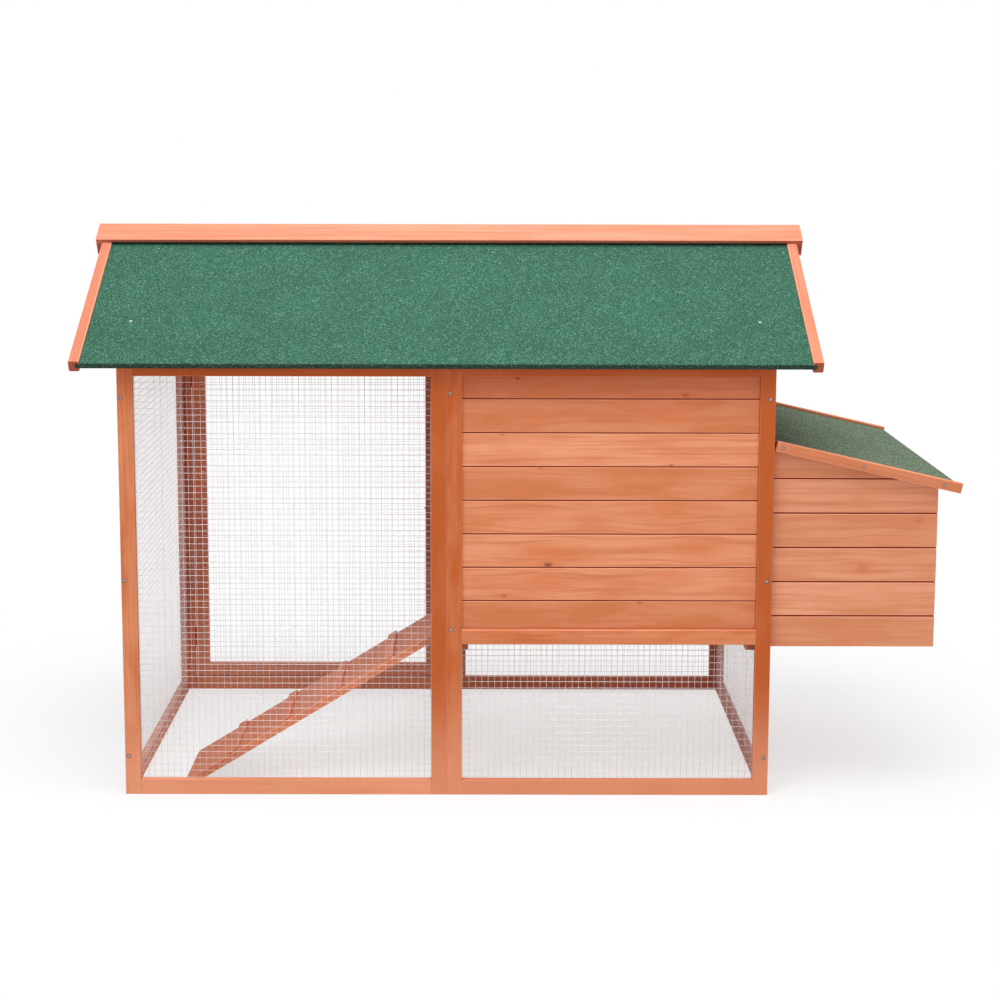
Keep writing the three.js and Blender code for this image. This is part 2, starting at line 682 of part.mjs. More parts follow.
function addDoorBolt() {
  const start = doorX[1] - boltPlateLength - doorGap;
  const plateY = coopDepth + seat;
  const rodY = plateY + boltPlateThickness + boltLoopWall + boltGap + boltRodRadius;
  const barrel = boltLoops(boltPlateLength, [0, boltPlateLength - boltLoopWidth]);
  addPiece(barrel, "door_bolt_barrel", zincSteel).position.set(start, plateY, boltHeight);

  const rod = new THREE.CylinderGeometry(boltRodRadius, boltRodRadius, boltRodLength, roundSides);
  const knob = new THREE.CylinderGeometry(boltKnobRadius, boltKnobRadius, boltKnobLength, roundSides);
  const knobX = boltLoopWidth + boltKnobRadius + boltGap + boltRodLength - boltPlateLength;
  const bolt = join(
    rod.rotateZ(Math.PI / 2).translate(boltRodLength / 2, 0, 0),
    knob.translate(knobX, boltKnobLength / 2, 0),
  );
  const rodStart = doorX[1] - doorGap / 2 - boltRodLength;
  addPiece(bolt, "door_bolt_rod", zincSteel).position.set(rodStart, rodY, boltHeight);

  const keeper = boltLoops(boltKeeperLength, [(boltKeeperLength - boltLoopWidth) / 2]);
  const keeperX = runBayWidth - stockWidth + doorGap;
  addPiece(keeper, "door_bolt_keeper", zincSteel).position.set(keeperX, plateY, boltHeight);
}

function addLidHinges() {
  const places = { front: lidHingeInset, rear: coopDepth - lidHingeInset };
  for (const [place, y] of Object.entries(places)) {
    const names = [`lid_${place}_hinge_wall_leaf`, `lid_${place}_hinge_lid_leaf`];
    const axis = { frame: lengthwiseFrame, at: new THREE.Vector3(lidAxis.x, y, lidAxis.z) };
    addHinge(names, axis, hingeLength, hingeLeafWidth, 0, lidPitch - Math.PI / 2);
  }
}

// The ramp hangs from a hinge below the sill of the pop hole, and its foot is cut level with the ground.
const rampAxis = { x: partitionLeft - seat - hingeRadius, z: sillHeight - hingeRadius };

function addRamp() {
  const end = rampAxis.x - hingeRadius - seat;
  const slope = Math.tan(rampSlope);
  const foot = end - sillHeight / slope; // where the upper face meets the ground
  const plumb = rampThickness / Math.cos(rampSlope);
  const up = (along, out) => [
    foot + along * Math.cos(rampSlope) - out * Math.sin(rampSlope),
    along * Math.sin(rampSlope) + out * Math.cos(rampSlope),
  ];
  const cleats = [];
  for (let i = 0; i < cleatCount; i += 1) {
    const start = firstCleat + i * cleatPitch;
    cleats.push(up(start, 0), up(start, cleatHeight));
    cleats.push(up(start + cleatWidth, cleatHeight), up(start + cleatWidth, 0));
  }
  const profile = outline([
    [foot, 0],
    ...cleats,
    [end, sillHeight],
    [end, sillHeight - plumb],
    [foot + plumb / slope, 0],
  ]);
  addPiece(extrudeAlongY(profile, [rampSetback, rampSetback + rampWidth]), "ramp", stainedFir);

  const names = ["ramp_hinge_wall_leaf", "ramp_hinge_ramp_leaf"];
  const middle = rampSetback + rampWidth / 2;
  const frame = lengthwiseFrame.clone().multiply(
    new THREE.Quaternion().setFromAxisAngle(axisZ, Math.PI),
  );
  const axis = { frame, at: new THREE.Vector3(rampAxis.x, middle, rampAxis.z) };
  addHinge(names, axis, rampHingeLength, rampHingeLeafWidth, 0, Math.PI);
}

// The floor of the house is a tray on two rebated runners. It pulls out through the slot in the rear.
function addTray() {
  const runnerY = [frameBack + meshWire + seat, rearFrameFront];
  const ledgeTop = floorHeight + seat;
  const ledgeBottom = ledgeTop - runnerLedge;
  const bottom = ledgeTop + seat;
  const top = bottom + trayThickness + trayLipHeight;
  const trayX = [houseLeft + slideGap, houseRight - slideGap];
  const rightEdge = coopLength - stockThickness - meshWire - seat;
  const runners = {
    left_tray_runner: [partitionRight, partitionRight + runnerWidth, trayX[0] - slideGap],
    right_tray_runner: [rightEdge, rightEdge - runnerWidth, trayX[1] + slideGap],
  };
  for (const [name, [outer, ledge, cheek]] of Object.entries(runners)) {
    const profile = outline([
      [outer, ledgeBottom],
      [ledge, ledgeBottom],
      [ledge, ledgeTop],
      [cheek, ledgeTop],
      [cheek, top],
      [outer, top],
    ]);
    addPiece(extrudeAlongY(profile, runnerY), name, stainedFir);
  }

  const front = runnerY[0] + slideGap;
  const whole = block(trayX, [front, coopDepth], [bottom, top]);
  const hollow = block(
    [trayX[0] + trayLipThickness, trayX[1] - trayLipThickness],
    [front + trayLipThickness, rearFrameFront],
    [bottom + trayThickness, top + overrun],
  );
  addPiece(cut(whole, hollow), "droppings_tray", stainedFir);

  const middle = (trayX[0] + trayX[1]) / 2;
  const pullZ = (bottom + top) / 2;
  const half = pullWidth / 2;
  const flare = pullDepth / 2;
  const pull = outline([
    [middle - half, coopDepth + seat],
    [middle + half, coopDepth + seat],
    [middle + half - flare, coopDepth + seat + pullDepth],
    [middle - half + flare, coopDepth + seat + pullDepth],
  ]);
  const grip = extrude(pull, pullThickness).translate(0, 0, pullZ - pullThickness / 2);
  addPiece(grip, "tray_pull", stainedFir);
}

addFrontFrames();
addOtherFrames();
addMeshes();
addHouseBoards();
addPartition();
addGables();
addRoof();
addNestBox();
addNestLid();
addLidHinges();
addRearDoor();
addDoorBolt();
addTray();
addRamp();

// Centre the coop on the box around it.
const bounds = new THREE.Box3().setFromObject(coop, true);
const centre = bounds.getCenter(new THREE.Vector3());
coop.position.set(-centre.x, -centre.y, -bounds.min.z);

export default coop;
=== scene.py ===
"""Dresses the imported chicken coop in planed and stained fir, roofing felt, welded mesh and zinc hardware.

The timber, boards, felt, mesh and fixings are new pieces that stand where the coop's own solids are.
Sizes are in millimetres, measured in the coop's own corner frame: X runs from the left side frame to the
nest box, Y from the front face to the rear, and Z up from the ground.
"""

import logging
import math
import random
from dataclasses import dataclass, field
from enum import Enum
from typing import ClassVar

import bmesh
import bpy
from mathutils import Matrix, Vector


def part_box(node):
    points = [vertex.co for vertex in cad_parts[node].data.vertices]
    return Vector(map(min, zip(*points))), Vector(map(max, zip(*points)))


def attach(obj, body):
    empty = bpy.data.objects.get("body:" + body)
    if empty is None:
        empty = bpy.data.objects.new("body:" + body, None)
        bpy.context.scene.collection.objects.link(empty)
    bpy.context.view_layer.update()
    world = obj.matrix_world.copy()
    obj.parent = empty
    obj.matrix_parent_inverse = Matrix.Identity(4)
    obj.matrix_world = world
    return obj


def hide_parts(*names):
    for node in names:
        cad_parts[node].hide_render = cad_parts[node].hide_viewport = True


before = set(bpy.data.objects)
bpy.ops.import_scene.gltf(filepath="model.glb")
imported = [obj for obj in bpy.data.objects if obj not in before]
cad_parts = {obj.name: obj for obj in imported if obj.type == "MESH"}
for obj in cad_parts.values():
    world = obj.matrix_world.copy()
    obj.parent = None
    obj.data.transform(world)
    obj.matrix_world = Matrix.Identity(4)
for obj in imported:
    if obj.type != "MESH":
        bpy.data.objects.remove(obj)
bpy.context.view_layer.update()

LOG = logging.getLogger("coop")
MM = 0.001
ROOF_PITCH = 30.0
REVEAL = 0.2  # how close to an opening's edge a corner counts as part of it
CORNER = Vector((*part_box("front_run_left_stile")[0][:2], 0.0))
Point = tuple[float, float]
Corner = tuple[float, float, float]  # across, outwards, and how far the seam colour covers it, as joint stain and as painted shade on the ridge
Colour = tuple[int, int, int]  # as a screen shows it, 0 to 255
Grain = tuple[Vector, float]  # where a stick lay in its tree, and its tone from -1, dark, to 1, light


def at(x: float, y: float, z: float) -> Vector:
    """A place given in millimetres in the coop's corner frame, in metres in the row's frame."""
    return Vector((x, y, z)) * MM + CORNER


class Body(Enum):
    """The bodies of the coop that pieces ride on."""

    COOP = "coop"
    LID = "nest_lid"
    DOOR = "rear_door"
    TRAY = "tray"
    RAMP = "ramp"


class Slot(Enum):
    """The record's material slots."""

    FIR = "stained_fir"
    PALE = "pale_fir"
    FELT = "green_felt"
    ZINC = "zinc_steel"
    WIRE = "welded_wire"


class Way(Enum):
    """Directions that a stick runs in or that its outer face looks in."""

    LEFT = (-1.0, 0.0, 0.0)
    RIGHT = (1.0, 0.0, 0.0)
    FRONT = (0.0, -1.0, 0.0)
    REAR = (0.0, 1.0, 0.0)
    DOWN = (0.0, 0.0, -1.0)
    UP = (0.0, 0.0, 1.0)

    @property
    def vector(self) -> Vector:
        """The direction as a vector."""
        return Vector(self.value)


def placed(along: Vector, outward: Vector, middle: Vector) -> Matrix:
    """Places a local frame whose X runs along a stick and whose Z looks out of its face.

    Args:
        along: The stick's length direction.
        outward: The direction that its outer face looks in.
        middle: Where the local origin goes, in metres.

    Returns:
        The matrix from the local frame to the row's frame.
    """
    x = along.normalized()
    z = outward.normalized()
    y = z.cross(x)
    turn = Matrix((x, y, z)).transposed().to_4x4()
    return Matrix.Translation(middle) @ turn


def linked(vertices: list[bmesh.types.BMVert], kind: str) -> list[bmesh.types.BMFace | bmesh.types.BMEdge]:
    """Gives the faces or edges at some vertices, each once and in the order in which they are met."""
    return list(dict.fromkeys(link for vertex in vertices for link in getattr(vertex, kind)))


def facing(place: Vector, outward: Vector) -> Matrix:
    """Places a local frame at a place with its Z looking outwards."""
    return Matrix.Translation(place) @ outward.to_track_quat("Z", "Y").to_matrix().to_4x4()


def stand(name: str, data: bpy.types.ID) -> bpy.types.Object:
    """Makes an object and puts it in the scene."""
    made = bpy.data.objects.new(name, data)
    bpy.context.scene.collection.objects.link(made)
    return made


def linear(red: int, green: int, blue: int) -> tuple[float, float, float, float]:
    """Turns a display colour of 0 to 255 into the linear colour that a shader takes."""
    parts = []
    for value in (red, green, blue):
        share = value / 255
        parts.append(share / 12.92 if share <= 0.04045 else ((share + 0.055) / 1.055) ** 2.4)
    return (*parts, 1.0)


class NodeBench:
    """Lays and wires the nodes of one material or node group."""

    def __init__(self, tree: bpy.types.NodeTree) -> None:
        """Takes an empty node tree."""
        self.tree = tree

    def add(self, kind: str, **settings: object) -> bpy.types.Node:
        """Adds a node and sets its options."""
        node = self.tree.nodes.new(f"ShaderNode{kind}")
        for name, value in settings.items():
            setattr(node, name, value)
        return node

    def join(self, source: bpy.types.NodeSocket, target: bpy.types.NodeSocket) -> None:
        """Wires one socket to another."""
        self.tree.links.new(source, target)

    def feed(self, socket: bpy.types.NodeSocket, value: object) -> None:
        """Wires a socket, or sets its value where the source is a plain number or colour."""
        if isinstance(value, bpy.types.NodeSocket):
            self.join(value, socket)
        else:
            socket.default_value = value

    def math(self, operation: str, *values: object) -> bpy.types.NodeSocket:
        """Combines numbers with a Math node."""
        node = self.add("Math", operation=operation)
        for socket, value in zip(node.inputs, values):
            self.feed(socket, value)
        return node.outputs[0]

    def vector(self, operation: str, *values: object) -> bpy.types.NodeSocket:
        """Combines vectors with a Vector Math node and gives its main output."""
        node = self.add("VectorMath", operation=operation)
        for socket, value in zip(node.inputs, values):
            self.feed(socket, value)
        return node.outputs["Value" if operation == "LENGTH" else "Vector"]

    def ramp(self, value: object, low: float, high: float, floor: float = 0.0, top: float = 1.0) -> object:
        """Eases a value from one range to another, clamped at both ends."""
        node = self.add("MapRange", interpolation_type="SMOOTHSTEP")
        for socket, number in zip(node.inputs, (value, low, high, floor, top)):
            self.feed(socket, number)
        return node.outputs["Result"]

    def blend(self, share: object, first: object, second: object, mode: str = "MIX") -> object:
        """Mixes two colours by a share."""
        node = self.add("Mix", data_type="RGBA", blend_type=mode)
        self.feed(node.inputs[0], share)
        self.feed(node.inputs[6], first)
        self.feed(node.inputs[7], second)
        return node.outputs[2]

    def noise(self, place: object, scale: float, detail: float = 2.0, roughness: float = 0.5) -> object:
        """Gives noise of a scale at a place."""
        node = self.add("TexNoise")
        self.feed(node.inputs["Vector"], place)
        node.inputs["Scale"].default_value = scale
        node.inputs["Detail"].default_value = detail
        node.inputs["Roughness"].default_value = roughness
        return node.outputs[0]

    def stray(self, place: object, scale: float, detail: float, reach: float) -> object:
        """Gives a small offset to all sides that wanders with the place."""
        speckle = self.noise(place, scale, detail).node.outputs["Color"]
        offset = self.vector("SCALE", self.vector("SUBTRACT", speckle, (0.5, 0.5, 0.5)))
        offset.node.inputs["Scale"].default_value = reach
        return offset

    def attribute(self, name: str, output: str = "Fac") -> object:
        """Reads one of the mesh's own attributes."""
        return self.add("Attribute", attribute_name=name).outputs[output]

    def emboss(self, shader: bpy.types.Node, height: object, strength: float, depth: float) -> None:
        """Gives a shader a bump from a height, its depth in millimetres."""
        bump = self.add("Bump")
        bump.inputs["Strength"].default_value = strength
        bump.inputs["Distance"].default_value = depth * MM
        self.join(height, bump.inputs["Height"])
        self.join(bump.outputs["Normal"], shader.inputs["Normal"])

    def direct(self) -> object:
        """Gives 1 where the camera sees something directly, through glass or in a mirror."""
        path = self.add("LightPath")
        seen = self.math("MAXIMUM", path.outputs["Is Camera Ray"], path.outputs["Is Transmission Ray"])
        return self.math("MAXIMUM", seen, path.outputs["Is Glossy Ray"])


def new_group(
    name: str, inputs: dict[str, str], outputs: tuple[str, ...]
) -> tuple[NodeBench, bpy.types.NodeOutputs, bpy.types.NodeInputs]:
    """Makes an empty node group.

    Args:
        name: The group's name.
        inputs: What goes in, each with its kind of socket.
        outputs: The numbers that come out.

    Returns:
        A bench for it, the sockets that bring its inputs, and those that take its outputs.
    """
    tree = bpy.data.node_groups.new(name, "ShaderNodeTree")
    for label, kind in inputs.items():
        tree.interface.new_socket(name=label, in_out="INPUT", socket_type=f"NodeSocket{kind}")
    for label in outputs:
        tree.interface.new_socket(name=label, in_out="OUTPUT", socket_type="NodeSocketFloat")
    source, sink = tree.nodes.new("NodeGroupInput"), tree.nodes.new("NodeGroupOutput")
    return NodeBench(tree), source.outputs, sink.inputs


def new_material(name: str) -> tuple[bpy.types.Material, NodeBench, bpy.types.Node]:
    """Makes a material, and gives it with a bench for its nodes and its shader."""
    material = bpy.data.materials.new(name)
    material.use_nodes = True
    return material, NodeBench(material.node_tree), material.node_tree.nodes["Principled BSDF"]


def grain_group() -> bpy.types.NodeTree:
    """Makes the group that draws softwood grain along a stick's own X.

    Returns:
        A group with a place, a ring spacing and a pore depth in, and masks and a height out.
    """
    names = ("Rings", "Fibre", "Streak", "Cloud", "Knot", "Height")
    bench, source, sink = new_group("fir_grain", {"Place": "Vector", "Spacing": "Float", "Bend": "Float"}, names)
    place = source["Place"]

    # The year rings wander slowly along the stick, so that the face shows long arches.
    sway = bench.stray(bench.vector("MULTIPLY", place, (0.9, 6.0, 6.0)), 1.0, 1.5, 0.015)
    bent = bench.add("CombineXYZ")
    bench.join(source["Bend"], bent.inputs["Y"])
    wandering = bench.vector("ADD", bench.vector("ADD", place, sway), bent.outputs[0])
    flat = bench.vector("MULTIPLY", wandering, (0.035, 1.0, 1.0))
    rings = bench.add("TexWave", wave_type="RINGS", rings_direction="X", wave_profile="SAW")
    bench.join(flat, rings.inputs["Vector"])
    bench.join(bench.math("DIVIDE", 0.314, source["Spacing"]), rings.inputs["Scale"])
    for name, value in (("Distortion", 0.6), ("Detail", 2.0), ("Detail Scale", 1.5)):
        rings.inputs[name].default_value = value
    late = bench.math("POWER", rings.outputs["Fac"], 2.2)

    fibre = bench.noise(bench.vector("MULTIPLY", wandering, (14.0, 1100.0, 1100.0)), 1.0, 3.0, 0.6)
    streak = bench.noise(bench.vector("MULTIPLY", wandering, (3.2, 95.0, 95.0)), 1.0, 3.0, 0.55)
    cloud = bench.noise(bench.vector("MULTIPLY", place, (7.0, 24.0, 24.0)), 1.0, 2.0)

    # Now and then a pin knot.
    cells = bench.add("TexVoronoi", voronoi_dimensions="2D", feature="F1")
    ragged = bench.vector("ADD", place, bench.stray(place, 240.0, 2.0, 0.004))
    bench.join(bench.vector("MULTIPLY", ragged, (9.0, 14.0, 1.0)), cells.inputs["Vector"])
    cells.inputs["Scale"].default_value = 1.0
    chosen = bench.add("SeparateColor")
    bench.join(cells.outputs["Color"], chosen.inputs[0])
    reach = bench.ramp(chosen.outputs[1], 0.0, 1.0, 0.02, 0.06)
    spot = bench.ramp(bench.math("DIVIDE", cells.outputs["Distance"], reach), 0.0, 1.2, 1.0, 0.0)
    knot = bench.math("MULTIPLY", spot, bench.math("GREATER_THAN", chosen.outputs[0], 0.96))

    height = bench.math("ADD", bench.math("MULTIPLY", fibre, 0.6), bench.math("MULTIPLY", late, 0.4))
    for name, value in zip(names, (late, fibre, streak, cloud, knot, height)):
        bench.join(value, sink[name])
    return bench.tree


def knot_group() -> bpy.types.NodeTree:
    """Makes the group that draws one knot on a face that looks to the front.

    Returns:
        A group with a place, a centre and a radius in, and a core, a halo and a bend out.
    """
    kinds = {"Place": "Vector", "Centre": "Vector", "Radius": "Float"}
    bench, source, sink = new_group("fir_knot", kinds, ("Core", "Halo", "Bend"))
    offset = bench.vector("SUBTRACT", source["Place"], source["Centre"])

    def reach(stretch: tuple[float, float, float]) -> tuple[object, object]:
        """Gives the offset stretched along the grain, and its length in radii of the knot."""
        stretched = bench.vector("MULTIPLY", offset, stretch)
        return stretched, bench.math("DIVIDE", bench.vector("LENGTH", stretched), source["Radius"])

    ragged = bench.math("MULTIPLY", bench.noise(offset, 260.0, 3.0), 1.5)
    worn = bench.math("ADD", reach((0.7, 0.0, 1.0))[1], bench.math("SUBTRACT", ragged, 0.75))
    bench.join(bench.ramp(worn, 0.1, 1.25, 1.0, 0.0), sink["Core"])
    stretched, spread = reach((0.3, 0.0, 1.1))
    cloudy = bench.math("ADD", spread, bench.math("MULTIPLY", bench.noise(stretched, 90.0, 3.0), 1.4))
    bench.join(bench.ramp(cloudy, 0.7, 3.0, 1.0, 0.0), sink["Halo"])
    split = bench.add("SeparateXYZ")
    bench.join(offset, split.inputs[0])
    fade = bench.ramp(reach((0.45, 0.0, 1.0))[1], 0.6, 3.6, 1.0, 0.0)
    push = bench.math("MULTIPLY", split.outputs["Z"], fade)
    bench.join(bench.math("MULTIPLY", push, -0.4), sink["Bend"])
    return bench.tree


@dataclass(frozen=True)
class Knot:
    """A knot on the house or nest front, at a place in the coop's corner frame."""

    x: float
    z: float
    radius: float
    core: float = 0.0  # how dark its middle is
    halo: float = 0.6  # how warm the wood round it is


@dataclass(frozen=True)
class FirFinish:
    """Planed fir under a thin stain, with grain along each stick."""

    PIN_KNOT: ClassVar[Colour] = (96, 38, 20)

    name: str
    light: Colour
    dark: Colour
    warm: Colour
    spacing: float = 4.2
    ring_share: float = 0.22
    streak_share: float = 0.6
    tone_share: float = 0.05
    roughness: float = 0.55
    tone_warmth: float = 0.55
    blush: Colour = (208, 112, 66)
    # The colour of dark joints, used also as painted shade in the gap round the rear door, on the ridge board's lower
    # edge and end blocks, and under the eaves.
    seam_and_shade: Colour = (166, 46, 10)
    # The colour of the painted light near the ground.
    foot: Colour = (240, 170, 138)
    foot_share: float = 0.0  # painted light: how much lighter it is near the ground, where the floor throws light up
    eave_share: float = 0.0  # painted shade: how much darker it is right under the eaves
    rub: float = 1.0  # how light its rubbed edges are
    cut: Colour | None = None  # its sawn ends, where they drank more stain than the dark grain
    knot_depth: float = -1.0
    knots: tuple[Knot, ...] = ()

    def build(self, grain: bpy.types.NodeTree, knot: bpy.types.NodeTree) -> bpy.types.Material:
        """Makes the material.

        Args:
            grain: The grain group.
            knot: The knot group.

        Returns:
            The finished material.
        """
        material, bench, shader = new_material(self.name)
        place = bench.attribute("grain_place", "Vector")
        tone, joint, end, wear = (bench.attribute(f"grain_{kind}") for kind in ("tone", "joint", "end", "wear"))
        where = bench.add("TexCoord").outputs["Object"]

        core, halo, bend = 0.0, 0.0, 0.0
        for mark in self.knots:
            group = bench.add("Group", node_tree=knot)
            bench.join(where, group.inputs["Place"])
            group.inputs["Centre"].default_value = at(mark.x, self.knot_depth, mark.z)
            group.inputs["Radius"].default_value = mark.radius * MM
            core = bench.math("MAXIMUM", core, bench.math("MULTIPLY", group.outputs["Core"], mark.core))
            halo = bench.math("MAXIMUM", halo, bench.math("MULTIPLY", group.outputs["Halo"], mark.halo))
            bend = bench.math("ADD", bend, group.outputs["Bend"])

        wood = bench.add("Group", node_tree=grain)
        bench.join(place, wood.inputs["Place"])
        wood.inputs["Spacing"].default_value = self.spacing * MM
        bench.feed(wood.inputs["Bend"], bend)

        ring_share = bench.math("ADD", bench.math("MULTIPLY", end, 0.45), self.ring_share)
        rings = bench.math("MULTIPLY", wood.outputs["Rings"], ring_share)
        colour = bench.blend(rings, linear(*self.light), linear(*self.dark))
        streak = bench.ramp(wood.outputs["Streak"], 0.42, 0.72, 0.0, self.streak_share)
        colour = bench.blend(streak, colour, linear(*self.dark))
        cloud = bench.ramp(wood.outputs["Cloud"], 0.4, 0.72, 0.0, 0.55)
        warmth = bench.math("ADD", cloud, bench.ramp(tone, 1.0, -1.0, 0.0, self.tone_warmth))
        colour = bench.blend(warmth, colour, linear(*self.warm))
        thread = bench.ramp(wood.outputs["Fibre"], 0.3, 0.75, 0.93, 1.04)
        colour = bench.blend(1.0, colour, thread, "MULTIPLY")
        shade = bench.math("ADD", bench.math("MULTIPLY", tone, self.tone_share), 1.0)
        colour = bench.blend(1.0, colour, shade, "MULTIPLY")
        dark = bench.math("MAXIMUM", core, bench.math("MULTIPLY", wood.outputs["Knot"], 0.6))
        rubbed = bench.ramp(wood.outputs["Streak"], 0.3, 0.6, self.rub * 0.4, self.rub * 0.85)
        height = bench.add("SeparateXYZ")
        bench.join(where, height.inputs[0])
        for share, paint in (
            (halo, self.blush),
            (dark, self.PIN_KNOT),
            # Where the joint layer is set: real dark joints, and painted shade in the rear door's gap and on the
            # ridge.
            (bench.math("MULTIPLY", joint, 0.95), self.seam_and_shade),
            (bench.math("MULTIPLY", end, 0.8), self.cut or self.dark),
            (bench.math("MULTIPLY", wear, rubbed), tuple(min(255, part + 24) for part in self.light)),
            # Painted light: lighter towards the ground, where the floor throws light up.
            (bench.ramp(height.outputs["Z"], 0.26, 0.0, 0.0, self.foot_share), self.foot),
            # Painted shade: the seam colour right under the eaves, where the eave's shadow falls.
            (bench.ramp(height.outputs["Z"], 0.72, 0.86, 0.0, self.eave_share), self.seam_and_shade),
        ):
            colour = bench.blend(share, colour, linear(*paint))
        bench.join(colour, shader.inputs["Base Color"])

        gloss = bench.ramp(wood.outputs["Height"], 0.2, 0.8, self.roughness - 0.07, self.roughness + 0.1)
        bench.join(gloss, shader.inputs["Roughness"])
        bench.emboss(shader, wood.outputs["Height"], 0.22, 0.4)
        shader.inputs["Specular IOR Level"].default_value = 0.22
        return material


@dataclass(frozen=True)
class FeltFinish:
    """Roofing felt with a coat of mineral grit."""

    name: str
    base: Colour
    light: Colour
    dark: Colour
    flecks: float = 580.0  # how many grains of grit lie along a metre

    def build(self) -> bpy.types.Material:
        """Makes the material: speckled grit over slow mottling."""
        material, bench, shader = new_material(self.name)
        where = bench.add("TexCoord").outputs["Object"]
        mottle = bench.noise(where, 9.0, 4.0, 0.6)
        grit = bench.noise(where, 420.0, 3.0, 0.75)
        cells = bench.add("TexVoronoi", feature="F1")
        bench.join(where, cells.inputs["Vector"])
        cells.inputs["Scale"].default_value = self.flecks
        pick = bench.add("SeparateColor")
        bench.join(cells.outputs["Color"], pick.inputs[0])
        colour = bench.blend(bench.ramp(grit, 0.37, 0.62), linear(*self.dark), linear(*self.base))
        colour = bench.blend(bench.ramp(pick.outputs[0], 0.82, 0.96, 0.0, 0.68), colour, linear(*self.light))
        colour = bench.blend(bench.ramp(pick.outputs[1], 0.82, 0.95, 0.0, 0.85), colour, linear(*self.dark))
        shade = bench.ramp(mottle, 0.3, 0.7, 0.93, 1.07)
        bench.join(bench.blend(1.0, colour, shade, "MULTIPLY"), shader.inputs["Base Color"])
        height = bench.math("ADD", grit, bench.math("MULTIPLY", cells.outputs["Distance"], 0.6))
        bench.emboss(shader, height, 0.5, 0.8)
        bench.join(bench.ramp(grit, 0.2, 0.8, 0.86, 0.97), shader.inputs["Roughness"])
        shader.inputs["Specular IOR Level"].default_value = 0.25
        return material


@dataclass(frozen=True)
class MetalFinish:
    """Zinc or galvanised steel with a slight cloudiness."""

    name: str
    bright: Colour
    dull: Colour
    metallic: float
    roughness: float
    scale: float

    def build(self) -> bpy.types.Material:
        """Makes the material: a cloudy zinc coat."""
        material, bench, shader = new_material(self.name)
        where = bench.add("TexCoord").outputs["Object"]
        cloud = bench.noise(where, self.scale, 3.0, 0.6)
        colour = bench.blend(bench.ramp(cloud, 0.35, 0.65), linear(*self.dull), linear(*self.bright))
        bench.join(colour, shader.inputs["Base Color"])
        shader.inputs["Metallic"].default_value = self.metallic
        gloss = bench.ramp(cloud, 0.3, 0.7, self.roughness - 0.08, self.roughness + 0.1)
        bench.join(gloss, shader.inputs["Roughness"])
        return material


